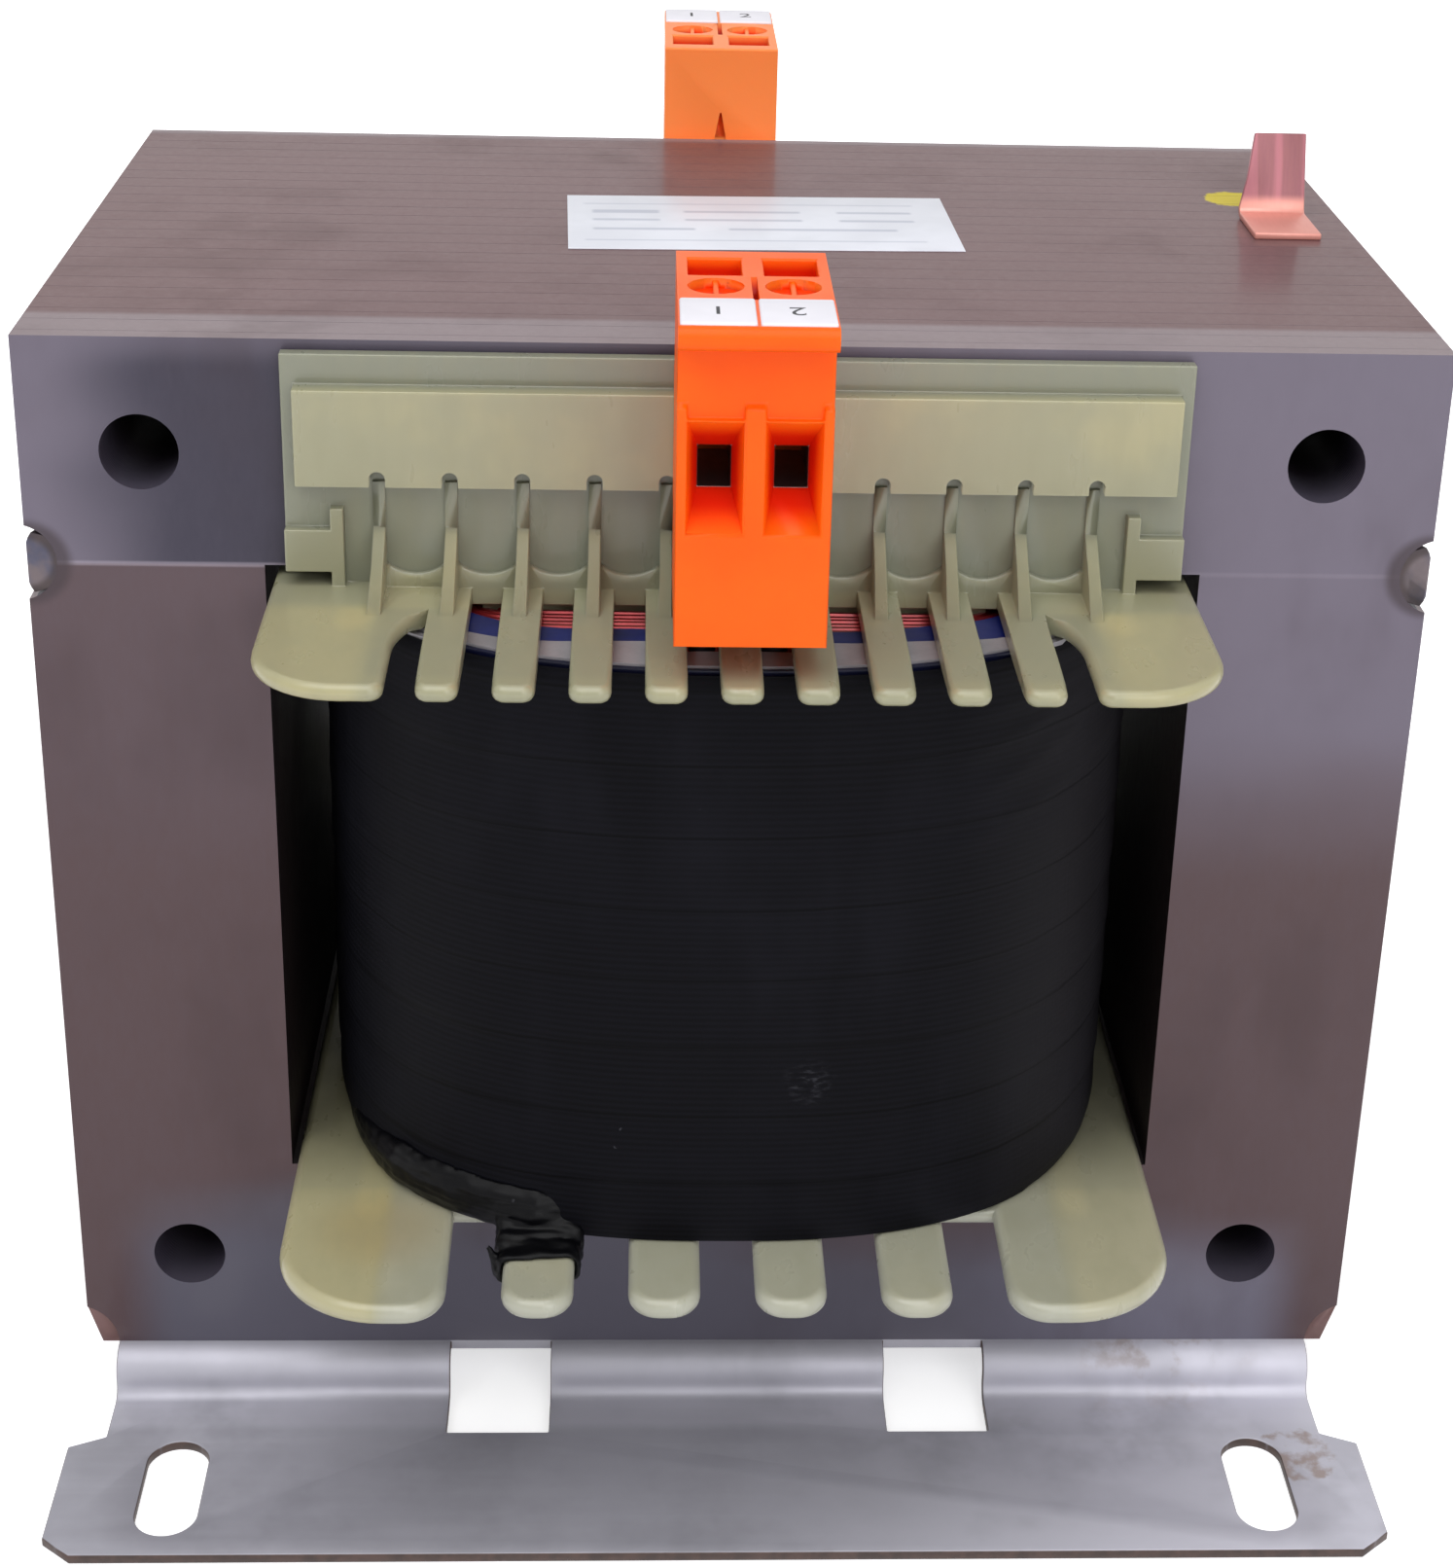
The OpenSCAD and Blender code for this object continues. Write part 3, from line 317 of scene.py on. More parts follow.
def cut_away(piece, low, high, taper=1.0):
    """Takes a block between two corners out of the piece; its top is narrowed along X by the taper."""
    let_go()
    middle = [(a + b) / 2 for a, b in zip(low, high)]
    bpy.ops.mesh.primitive_cube_add(size=1, location=middle, scale=[b - a for a, b in zip(low, high)])
    block = bpy.context.object
    edit(block)
    pick(block, "vertices", lambda v: v.co.z > 0)
    bpy.ops.transform.resize(value=(taper, 1, 1))
    let_go()
    modify(piece, "BOOLEAN", operation="DIFFERENCE", object=block, solver="EXACT")
    bpy.data.objects.remove(block)
    return piece


def rims(piece, level, up, reach):
    """Outward edges of a flat face at this level, beyond the reach; up is 1 for a top, -1 for a bottom."""
    points, found = piece.data.vertices, set()
    for key, faces in faces_beside(piece).items():
        a, b = (points[i].co for i in key)
        if min(abs(a.y), abs(b.y)) > reach and max(abs(a.z - level), abs(b.z - level)) < 0.02 * MM:
            flat = any(face.normal.z * up > 0.99 for face in faces)
            wall = any(abs(face.normal.z) < 0.3 and (face.center.z - level) * up < 0 for face in faces)
            if flat and wall:
                found.add(key)
    return found


def shade(piece, angle=40, flats=False):
    """Smooth shading up to an angle; flats keeps large flat faces flat between their rounded edges."""
    take(piece)
    bpy.ops.object.shade_smooth_by_angle(angle=math.radians(angle))
    if flats:
        modify(piece, "WEIGHTED_NORMAL", keep_sharp=True, weight=80)
    return piece


def settle(piece, slot, *nodes, finish=None):
    """Puts the piece on the body, in place of the nodes it stands for."""
    take(piece)
    bpy.ops.object.transform_apply(location=True, rotation=True, scale=True)
    if finish:
        piece.data.materials.clear()
        piece.data.materials.append(finish)
    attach(piece, BODY)
    if nodes:
        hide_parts(*nodes)
    let_go()
    return piece


def dress(node, finish):
    """Gives a node that keeps its own shape a finish."""
    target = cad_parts[node]
    if not target.data.materials:
        target.data.materials.append(finish)
    for place in target.material_slots:
        place.material = finish


def outline(a, b, bend, turn):
    """A point on the rounded outline of the coil; turn is in radians."""
    c, s = math.cos(turn), math.sin(turn)
    return (
        a * math.copysign(abs(c) ** (2 / bend[0]), c),
        b * math.copysign(abs(s) ** (2 / bend[1]), s),
    )


def even_turns(a, b, bend, count):
    """Turns that space points evenly along the outline."""
    fine = 1440
    points = [Vector(outline(a, b, bend, math.tau * i / fine)) for i in range(fine + 1)]
    run = [0.0]
    for p, q in zip(points, points[1:]):
        run.append(run[-1] + (q - p).length)
    turns, i = [], 0
    for k in range(count):
        goal = run[-1] * k / count
        while run[i + 1] < goal:
            i += 1
        share = (goal - run[i]) / max(run[i + 1] - run[i], 1e-9)
        turns.append(math.tau * (i + share) / fine)
    return turns


# ---------------------------------------------------------------- finish helpers


class Wiring:
    """A node tree with short calls to fill it."""

    def __init__(self, tree):
        self.tree = tree

    def set(self, socket, value):
        if isinstance(value, bpy.types.NodeSocket):
            self.tree.links.new(value, socket)
        elif hasattr(value, "__len__") and len(value) == 3 and socket.type == "RGBA":
            socket.default_value = (*value, 1)
        else:
            socket.default_value = value

    def add(self, kind, *values, **named):
        """Adds a node. Values go to its inputs in order, named ones to its settings or inputs."""
        made = self.tree.nodes.new("ShaderNode" + kind)
        for key in [k for k in named if hasattr(made, k)]:
            setattr(made, key, named.pop(key))
        for i, value in enumerate(values):
            if value is not None:
                self.set(made.inputs[i], value)
        for key, value in named.items():
            self.set(made.inputs[key.replace("_", " ")], value)
        return made

    def math(self, operation, *values, clamp=False):
        return self.add("Math", *values, operation=operation, use_clamp=clamp).outputs[0]

    def times(self, a, b, clamp=False):
        return self.math("MULTIPLY", a, b, clamp=clamp)

    def plus(self, a, b):
        return self.math("ADD", a, b)

    def less(self, a, b):
        return self.math("SUBTRACT", a, b)

    def larger(self, a, b):
        return self.math("MAXIMUM", a, b)

    def size(self, value):
        return self.math("ABSOLUTE", value)

    def above(self, value, limit):
        return self.math("GREATER_THAN", value, limit)

    def between(self, value, low, high):
        """1 where the value is between the two limits."""
        return self.times(self.math("LESS_THAN", value, high), self.above(value, low))

    def far(self, vector, point):
        """The distance of the vector from a point."""
        return self.add("VectorMath", vector, point, operation="DISTANCE").outputs["Value"]

    def mix(self, share, a, b):
        made = self.add("Mix", data_type="RGBA")
        for index, value in ((0, share), (6, a), (7, b)):
            self.set(made.inputs[index], value)
        return made.outputs[2]

    def ramp(self, value, low, high, start=0.0, end=1.0):
        """Runs from start to end as the value goes from low to high, without leaving that range."""
        return self.add(
            "MapRange", value, low, high, start, end, clamp=True, interpolation_type="SMOOTHSTEP"
        ).outputs[0]

    def noise(self, vector, scale, detail=3.0, roughness=0.55):
        return self.add(
            "TexNoise", Vector=vector, Scale=scale, Detail=detail, Roughness=roughness
        ).outputs[0]

    def stretch(self, vector, scale, rotation=(0, 0, 0)):
        return self.add("Mapping", vector, None, rotation, scale).outputs[0]

    def split(self, vector):
        return self.add("SeparateXYZ", vector).outputs

    def group(self, name, *values):
        made = self.tree.nodes.new("ShaderNodeGroup")
        made.node_tree = bpy.data.node_groups[name]
        for socket, value in zip(made.inputs, values):
            if value is not None:
                self.set(socket, value)
        return made.outputs


def effect(name, inputs, outputs):
    """A new shared effect, with the wiring to fill it and its two ends."""
    tree = bpy.data.node_groups.new(name, "ShaderNodeTree")
    for label, kind, default in inputs:
        socket = tree.interface.new_socket(label, in_out="INPUT", socket_type=kind)
        if default is not None:
            socket.default_value = default
    for label, kind in outputs:
        tree.interface.new_socket(label, in_out="OUTPUT", socket_type=kind)
    start, end = tree.nodes.new("NodeGroupInput"), tree.nodes.new("NodeGroupOutput")
    return Wiring(tree), start.outputs, end.inputs


FLOAT, VECTOR = "NodeSocketFloat", "NodeSocketVector"


def make_effects():
    """The effects that several finishes share."""
    w, given, result = effect(
        "Handling marks", [("Vector", VECTOR, None), ("Scale", FLOAT, 60.0), ("Amount", FLOAT, 1.0)], [
            ("Mask", FLOAT)
        ]
    )
    cloud = w.noise(given[0], given[1], 4.0, 0.6)
    streak = w.noise(w.stretch(given[0], (1, 1, 0.35)), w.times(given[1], 3.1), 3.0, 0.6)
    both = w.times(w.ramp(cloud, 0.42, 0.7), w.ramp(streak, 0.35, 0.65))
    w.set(result[0], w.times(both, given[2], clamp=True))

    w, given, result = effect(
        "Fine grain", [("Vector", VECTOR, None), ("Scale", FLOAT, 900.0), ("Along", VECTOR, (1, 1, 1))], [
            ("Value", FLOAT)
        ]
    )
    stretched = w.add("VectorMath", given[0], given[2], operation="MULTIPLY").outputs[0]
    w.set(result[0], w.noise(stretched, given[1], 4.0, 0.65))

    w, given, result = effect(
        "Sheet lines", [("Position", FLOAT, 0.0), ("Sheet", FLOAT, 0.0005)], [
            ("Line", FLOAT), ("Sheet number", FLOAT)
        ]
    )
    share = w.math("DIVIDE", given[0], given[1])
    within = w.size(w.less(w.math("FRACT", share), 0.5))
    w.set(result[0], w.ramp(within, 0.3, 0.5))
    w.set(result[1], w.math("FLOOR", share))

    w, given, result = effect(
        "Dab", [("Vector", VECTOR, None), ("Centre", VECTOR, None), ("Radius", FLOAT, 0.0035)], [
            ("Mask", FLOAT)
        ]
    )
    ragged = w.times(w.less(w.noise(given[0], 700.0, 3.0), 0.5), w.times(given[2], 0.5))
    away = w.far(given[0], given[1])
    w.set(result[0], w.ramp(w.less(w.plus(away, ragged), given[2]), 0.0003, -0.0003))


def finish(name, **settings):
    """A new material, its wiring, its shader and the place on the object."""
    made = bpy.data.materials.new(name)
    made.use_nodes = True
    w = Wiring(made.node_tree)
    shader = made.node_tree.nodes["Principled BSDF"]
    for key, value in settings.items():
        w.set(shader.inputs[key.replace("_", " ")], value)
    place = w.add("TexCoord").outputs["Object"]
    return made, w, shader.inputs, place


def bump(w, sockets, height, distance, strength=1.0, under=None):
    made = w.add("Bump", Strength=strength, Distance=distance, Height=height)
    if under is not None:
        w.set(made.inputs["Normal"], under)
    w.set(sockets["Normal"], made.outputs[0])
    return made.outputs[0]


# ---------------------------------------------------------------- finishes


def from_joint(w, x, z):
    """The height over the joint of the two stacks, and the distance from its end at the side of the core."""
    height = w.less(z, JOINT)
    inward = w.less(CORE_X, w.size(x))
    return height, w.math("SQRT", w.plus(w.math("POWER", inward, 2.0), w.math("POWER", height, 2.0)))


def core_finish(s):
    made, w, out, place = finish("Stacked sheet steel", Coat_Roughness=0.15, Specular_IOR_Level=0.25)
    x, y, z = w.split(place)
    _, ny, nz = w.split(w.add("NewGeometry").outputs["Normal"])
    plate = w.ramp(w.size(ny), 0.6, 0.9)
    top = w.ramp(nz, 0.6, 0.9)
    # within: the inner faces of the windows and holes of the core, which take painted shade below.
    within = w.between(z, CORE_LOW + 0.8 * MM, CORE_TOP - 0.8 * MM)
    within = w.times(within, w.math("LESS_THAN", w.size(x), CORE_X - 0.8 * MM))
    within = w.times(within, w.less(1.0, plate))
    line, number = w.group("Sheet lines", y, s.sheet)
    shade_of_sheet = w.add("TexWhiteNoise", W=number, noise_dimensions="1D").outputs[0]
    grain = w.group("Fine grain", place, 1100.0, (1.0, 1.0, 0.35))[0]
    marks = w.group("Handling marks", place, 28.0, 1.0)[0]
    rolled = w.times(w.less(w.noise(w.stretch(place, (1.0, 1.0, 2.0)), 12.0, 3.0), 0.5), 0.03)
    # Painted reflection: the front plate is paled higher up and towards the right, and so is the yoke at its
    # outer corners and on the right.
    to_right = w.ramp(w.plus(x, rolled), -0.03, 0.05)
    high = w.ramp(w.plus(z, rolled), 0.066, 0.092)
    limb = w.mix(w.times(high, w.ramp(to_right, 0.0, 1.0, 0.12, 0.95)), s.plate, s.plate_pale)
    corner = w.larger(to_right, w.ramp(w.size(w.plus(x, rolled)), 0.057, 0.070))
    yoke = w.mix(corner, s.plate_dark, s.plate_pale)
    face = w.mix(w.above(z, JOINT), limb, yoke)
    # Painted reflection: a bluish band along the foot of the front plate, lighter towards the right.
    low_reflection = w.mix(w.ramp(x, 0.018, 0.050), s.plate_low, toned(s.plate_low, 1.65))
    face = w.mix(
        w.times(w.ramp(w.plus(z, rolled), 0.029, 0.018), w.ramp(w.size(x), 0.072, 0.064)), face, low_reflection
    )
    at_joint, heat = from_joint(w, x, z)
    # Painted highlight: a thin pale line along the joint of the two stacks, stronger on the left.
    seam_highlight = w.times(w.ramp(w.size(at_joint), 0.0004, 0.0001), w.ramp(x, -0.03, 0.05, 0.4, 0.12))
    face = w.mix(seam_highlight, face, paint("a79daa"))
    face = w.mix(
        w.ramp(w.plus(heat, w.times(rolled, 0.02)), 0.0054, 0.0040, 0.0, 0.8), face, paint("33272a")
    )
    # Painted highlight: the front plate is paled over its top 3.5 mm, along the arris.
    face = w.mix(w.ramp(z, CORE_TOP - 3.5 * MM, CORE_TOP, 0.0, 0.55), face, s.plate_pale)
    face = w.mix(w.times(grain, 0.18), face, s.plate_pale)
    side = w.mix(w.times(shade_of_sheet, w.ramp(top, 0.0, 1.0, 0.5, 0.12)), s.edge, toned(s.edge, 0.68))
    side = w.mix(w.times(line, w.ramp(top, 0.0, 1.0, 0.5, 0.05)), side, toned(s.edge, 0.45))
    cloud = w.ramp(w.noise(w.stretch(place, (0.3, 1.6, 1.0)), 60.0), 0.4, 0.75)
    side = w.mix(w.times(cloud, 0.25), side, toned(s.edge, 0.75))
    # The top is lightened in a strip along its front edge, and along its back edge as a painted glow from the
    # terminal behind.
    front_strip_and_back_glow = w.plus(
        w.ramp(y, -FACE_Y + 9.0 * MM, -FACE_Y + 7.4 * MM), w.ramp(y, FACE_Y - 3.0 * MM, FACE_Y, 0.0, 1.2)
    )
    side = w.mix(w.times(top, front_strip_and_back_glow, clamp=True), side, s.edge_pale)
    colour_now = w.mix(plate, side, face)
    colour_now = w.mix(w.times(marks, 0.25), colour_now, toned(s.plate, 0.6))
    # Painted shade: inside the windows and holes the steel goes near black, and the corner holes lighten a
    # little towards their mouths.
    bore = w.times(w.above(w.size(x), 55 * MM), w.ramp(w.size(y), FACE_Y - 16 * MM, FACE_Y - 1 * MM))
    colour_now = w.mix(w.times(within, 0.92), colour_now, w.mix(bore, paint("060505"), paint("3c3a48")))
    dab = w.times(w.group("Dab", place, (63.5 * MM, 18.5 * MM, CORE_TOP), s.dab_radius)[0], top)
    bare = w.less(1.0, w.larger(dab, within))
    w.set(out["Base Color"], w.mix(dab, colour_now, s.dab))
    w.set(out["Metallic"], w.times(bare, w.ramp(top, 0.0, 1.0, 0.3, 0.1)))
    w.set(out["Coat Weight"], w.times(bare, w.ramp(top, 0.0, 1.0, 0.2, 0.28)))
    rough = w.plus(0.4, w.times(grain, 0.2))
    w.set(out["Roughness"], w.plus(rough, w.times(marks, 0.12)))
    groove = w.times(line, w.less(1.0, w.larger(plate, top)))
    bump(w, out, w.less(w.times(grain, 0.12), groove), 0.00006, 0.6)
    return made


def foot_finish(s):
    made, w, out, place = finish("Bent sheet steel")
    x, y, z = w.split(place)
    nx, ny, _ = w.split(w.add("NewGeometry").outputs["Normal"])
    depth = w.less(w.size(y), FACE_Y)
    bend = w.times(w.ramp(depth, 0.0105, 0.0085), w.ramp(depth, -0.0005, 0.0015))
    side = w.ramp(w.size(nx), 0.45, 0.75)
    end = w.times(w.ramp(w.size(ny), 0.5, 0.8), w.ramp(depth, 0.024, 0.027))
    rim = w.times(w.ramp(w.size(ny), 0.5, 0.8), w.ramp(z, 0.0013, 0.0011))
    sheared = w.larger(side, w.larger(end, rim))
    cloud = w.noise(place, 38.0, 5.0, 0.62)
    streak = w.noise(w.stretch(place, (0.3, 3.0, 1.0)), 120.0, 4.0)
    marks = w.group("Handling marks", place, 45.0, 1.0)[0]
    base = w.mix(w.ramp(cloud, 0.35, 0.7), s.foot, toned(s.foot, 0.82))
    # Painted shade: the foot is darker towards the middle, under the coil.
    base = w.mix(w.ramp(w.size(w.plus(x, 0.006)), 0.03, 0.006, 0.0, 0.12), base, toned(s.foot, 0.6))
    # Painted light: the foot is lighter towards the right.
    base = w.mix(w.ramp(x, 0.0, 0.05, 0.0, 0.9), base, toned(s.foot, 1.5))
    base = w.mix(w.times(w.ramp(streak, 0.4, 0.7), 0.18), base, toned(s.foot, 1.2))
    # Painted highlight: the bend of the foot is lightened.
    base = w.mix(w.times(bend, 0.22), base, toned(s.foot, 1.9))
    base = w.mix(w.times(marks, 0.35), base, toned(s.foot, 0.55))
    rust = w.times(
        w.ramp(w.noise(place, 260.0, 4.0), 0.5, 0.68), w.ramp(w.noise(place, 24.0, 2.0), 0.58, 0.7)
    )
    stain = w.group("Dab", place, (68 * MM, -FACE_Y - 15 * MM, 1.5 * MM), 0.0045)[0]
    rust = w.larger(rust, w.times(stain, w.ramp(w.noise(place, 420.0, 4.0), 0.4, 0.65)))
    base = w.mix(w.times(rust, 0.6), base, paint("7a5a3a"))
    edge = w.mix(w.ramp(w.noise(place, 500.0, 3.0), 0.3, 0.7), s.cut_edge, toned(s.cut_edge, 0.5))
    w.set(out["Base Color"], w.mix(sheared, base, edge))
    w.set(out["Metallic"], w.times(w.less(1.0, w.larger(sheared, rust)), 0.25))
    w.set(out["Roughness"], w.plus(0.34, w.times(cloud, 0.3)))
    bump(w, out, w.plus(cloud, w.times(streak, 0.25)), 0.00008, 0.3)
    return made


def bead_finish(s):
    made, w, out, place = finish("Weld bead")
    x, _, z = w.split(place)
    arc = w.add(
        "TexWave",
        Vector=place,
        Scale=190.0,
        Distortion=2.5,
        Detail=2.0,
        Detail_Scale=2.0,
        bands_direction="Y",
    ).outputs[1]
    tint = w.noise(place, 220.0, 3.0)
    base = w.mix(w.ramp(tint, 0.38, 0.62), s.bead, paint("4a4b5e"))
    reach = from_joint(w, x, z)[1]
    low = w.ramp(z, 0.040, 0.030)
    toe = w.larger(w.ramp(reach, 0.0022, 0.0031), low)
    base = w.mix(
        w.times(toe, w.ramp(low, 0.0, 1.0, 0.8, 0.9)), base, w.mix(low, paint("352726"), s.bead_low)
    )
    w.set(out["Base Color"], w.mix(w.times(arc, 0.35), base, paint("2a2425")))
    w.set(out["Metallic"], w.less(0.6, w.times(toe, 0.45)))
    w.set(out["Roughness"], w.plus(w.ramp(toe, 0.0, 1.0, 0.26, 0.45), w.times(tint, 0.25)))
    bump(w, out, w.plus(arc, tint), 0.00012, 0.6)
    return made


def bobbin_finish(s):
    made, w, out, place = finish(
        "Natural nylon", Subsurface_Weight=0.35, Subsurface_Scale=0.0015, Subsurface_Radius=(
            1.0, 0.97, 0.8
        ),
        IOR=1.5, Coat_Weight=0.2, Coat_Roughness=0.08,
    )
    x, y, z = w.split(place)
    across, reach = w.size(x), w.size(y)
    cloud = w.noise(place, 70.0, 3.0)
    flow = w.noise(w.stretch(place, (2.0, 1.0, 0.5)), 160.0, 3.0)
    cheek = w.larger(
        w.ramp(z, COPPER_LOW.z + 1.0 * MM, COPPER_LOW.z - 1.0 * MM),
        w.times(w.ramp(z, 0.1065, 0.1055), w.ramp(reach, 0.053, 0.056)),
    )
    lobe = w.times(cheek, w.ramp(across, 0.036, 0.039))
    inner_corner = w.times(lobe, w.times(w.ramp(across, 0.044, 0.040), w.ramp(reach, 0.066, 0.058)))
    warm = w.larger(w.times(lobe, 0.55), w.times(w.ramp(cloud, 0.45, 0.75), 0.4))
    warm = w.larger(warm, inner_corner)
    thin = w.times(w.ramp(reach, WALL_Y + 2.2 * MM, WALL_Y + 0.1 * MM), w.ramp(z, 0.1050, 0.1058))
    ribs = w.times(w.ramp(z, 0.1185, 0.1130), w.ramp(z, 0.1046, 0.1060))
    finger = w.times(w.less(cheek, lobe), w.ramp(z, 0.090, 0.100))
    pale = w.larger(w.times(ribs, 0.4), w.times(finger, w.ramp(reach, 0.0745, 0.071, 0.1, 0.5)))
    pale = w.larger(pale, w.times(thin, 0.85))
    base = w.mix(warm, s.resin, s.resin_warm)
    base = w.mix(pale, base, s.resin_thin)
    lower = w.ramp(z, COPPER_LOW.z + 1.0 * MM, COPPER_LOW.z - 1.0 * MM)
    cold = w.times(
        lower, w.larger(w.ramp(across, 0.039, 0.036, 0.0, 0.75), w.ramp(x, 0.0, 0.03, 0.15, 0.55))
    )
    base = w.mix(cold, base, s.resin_cold)
    stain = w.ramp(w.far(place, (-38 * MM, -63 * MM, COPPER_LOW.z)), 0.010, 0.002, 0.0, 0.5)
    base = w.mix(w.times(stain, lower), base, paint("a98d52"))
    # Painted shade: the lower cheek inside the core window, behind the coil, goes near black.
    window_shade = w.times(w.times(lower, w.ramp(across, 0.034, 0.037)), w.ramp(reach, 0.060, 0.040, 0.0, 0.95))
    base = w.mix(window_shade, base, paint("171714"))
    w.set(out["Base Color"], w.mix(w.times(w.ramp(flow, 0.4, 0.7), 0.2), base, toned(s.resin, 0.86)))
    w.set(out["Roughness"], w.plus(0.2, w.times(flow, 0.2)))
    bump(w, out, flow, 0.00003, 0.25)
    return made


def tape_finish(s, name, gloss, shine=0.05):
    made, w, out, place = finish(name, IOR=1.5, Specular_IOR_Level=shine)
    x = w.split(place)[0]
    rib = w.add(
        "TexWave", Vector=place, Scale=420.0, Distortion=0.5, Detail=1.0, bands_direction="Z"
    ).outputs[1]
    cross = w.noise(w.stretch(place, (3.0, 3.0, 0.2)), 700.0, 2.0)
    wrap = w.noise(w.stretch(place, (0.2, 0.2, 2.4)), 60.0, 4.0, 0.6)
    marks = w.group("Handling marks", place, 22.0, 1.0)[0]
    lint = w.ramp(w.noise(place, 620.0, 2.0, 0.4), 0.79, 0.84)
    laid = w.math("FRACT", w.add("Attribute", attribute_name="laid").outputs["Fac"])
    lap = w.larger(w.ramp(laid, 0.05, 0.0), w.ramp(laid, 0.985, 1.0))
    base = w.mix(w.ramp(wrap, 0.35, 0.7), s.tape, toned(s.tape, 1.4))
    # Painted sheen: the tape is lighter on the right flank of the coil.
    base = w.mix(w.times(w.ramp(x, 0.022, 0.042), 0.5), base, paint("242224"))
    base = w.mix(w.times(marks, 0.07), base, paint("40404c"))
    base = w.mix(w.times(rib, 0.2), base, paint("1a1a22"))
    base = w.mix(w.times(lap, 0.75), base, paint("030304"))
    scuff = w.ramp(w.far(place, (8.5 * MM, -TAPE_HIGH.y, 55 * MM)), 0.0036, 0.0)
    scuff = w.times(scuff, w.ramp(w.noise(w.stretch(place, (1.0, 1.0, 2.5)), 900.0, 4.0), 0.45, 0.75))
    base = w.mix(w.times(scuff, 0.2), base, paint("74747e"))
    w.set(out["Base Color"], w.mix(w.times(lint, 0.3), base, paint("8f8f9a")))
    w.set(out["Roughness"], w.plus(gloss, w.times(wrap, 0.25)))
    weave = w.plus(w.times(rib, 0.5), w.times(cross, 0.5))
    under = bump(w, out, wrap, 0.0006, 0.35)
    bump(w, out, weave, 0.00005, 0.4, under)
    return made


def copper_finish(s):
    made, w, out, place = finish("Enamelled copper", Metallic=0.6, Coat_Weight=0.3, Coat_Roughness=0.12)
    tint = w.noise(place, 140.0, 3.0)
    w.set(
        out["Base Color"],
        w.mix(
            w.ramp(tint, 0.35, 0.65), s.enamel, [s.enamel[0] * 0.62, s.enamel[1] * 0.5, s.enamel[2] * 0.6]
        ),
    )
    w.set(out["Roughness"], w.plus(0.2, w.times(tint, 0.2)))
    bump(w, out, w.noise(place, 900.0, 2.0), 0.00003, 0.3)
    return made


def film_finish(s, name, tone):
    made, w, out, place = finish(name, Coat_Weight=0.08, Coat_Roughness=0.15, Specular_IOR_Level=0.3)
    across = w.size(w.split(place)[0])
    fold = w.noise(place, 120.0, 3.0)
    base = w.mix(w.ramp(fold, 0.35, 0.7), tone, toned(tone, 0.5))
    lapped = w.ramp(w.plus(across, w.times(fold, 0.004)), 0.0305, 0.0325)
    w.set(out["Base Color"], w.mix(lapped, base, toned(s.paper, 0.8)))
    w.set(out["Roughness"], w.plus(0.22, w.times(fold, 0.25)))
    bump(w, out, fold, 0.0004, 0.4)
    return made


def paper_finish(s):
    made, w, out, place = finish("Insulating paper")
    fibre = w.noise(place, 900.0, 4.0, 0.7)
    crease = w.noise(place, 130.0, 4.0, 0.6)
    base = w.mix(w.ramp(crease, 0.35, 0.7), s.paper, toned(s.paper, 0.72))
    w.set(out["Base Color"], w.mix(w.times(fibre, 0.3), base, toned(s.paper, 0.8)))
    w.set(out["Roughness"], w.plus(0.5, w.times(fibre, 0.3)))
    bump(w, out, w.plus(crease, w.times(fibre, 0.2)), 0.0004, 0.4)
    return made


def shell_finish(s):
    made, w, out, place = finish(
        "Moulded shell", Subsurface_Weight=0.2, Subsurface_Scale=0.0015, Subsurface_Radius=(1.0, 0.35, 0.1),
        IOR=1.5, Specular_IOR_Level=0.2,
    )
    x, y, z = w.split(place)
    reach = w.size(y)
    middle = w.math("LESS_THAN", w.size(w.less(x, 0.3 * MM)), 7.0 * MM)
    funnel = w.times(
        w.ramp(reach, FACE_Y + 27.3 * MM, FACE_Y + 24.0 * MM), w.between(z, 121.2 * MM, 132.3 * MM)
    )
    funnel = w.times(funnel, w.above(reach, FACE_Y + 20 * MM))
    recess = w.times(
        w.ramp(z, 142.5 * MM, 141.3 * MM), w.between(reach, FACE_Y + 6.9 * MM, FACE_Y + 22 * MM)
    )
    recess = w.times(recess, w.above(z, 138 * MM))
    # Painted shade: the funnels and recesses take the deep red.
    deep = w.times(middle, w.larger(funnel, recess))
    cloud = w.noise(place, 90.0, 3.0)
    texture = w.noise(place, 2600.0, 2.0)
    base = w.mix(w.ramp(cloud, 0.3, 0.75), s.shell, [s.shell[0], s.shell[1] * 0.86, s.shell[2] * 0.7])
    # Painted light: the rear terminal is made paler than the front one.
    far = w.above(y, 0.0)
    base = w.mix(w.times(far, 0.75), base, paint("ff9450"))
    w.set(out["Base Color"], w.mix(w.times(deep, 0.95), base, s.shell_deep))
    w.set(out["Roughness"], w.plus(0.32, w.times(cloud, 0.12)))
    bump(w, out, texture, 0.00003, 0.35)
    return made


def metal_finish(name, tone, rough, metallic=0.9, along=(1.0, 1.0, 0.2)):
    made, w, out, place = finish(name, Metallic=metallic)
    grain = w.group("Fine grain", place, 2400.0, along)[0]
    marks = w.group("Handling marks", place, 160.0, 1.0)[0]
    base = w.mix(w.times(marks, 0.6), tone, toned(tone, 0.45))
    w.set(out["Base Color"], w.mix(w.times(grain, 0.25), base, toned(tone, 0.7)))
    w.set(out["Roughness"], w.plus(rough, w.times(grain, 0.18)))
    bump(w, out, grain, 0.00004, 0.4)
    return made


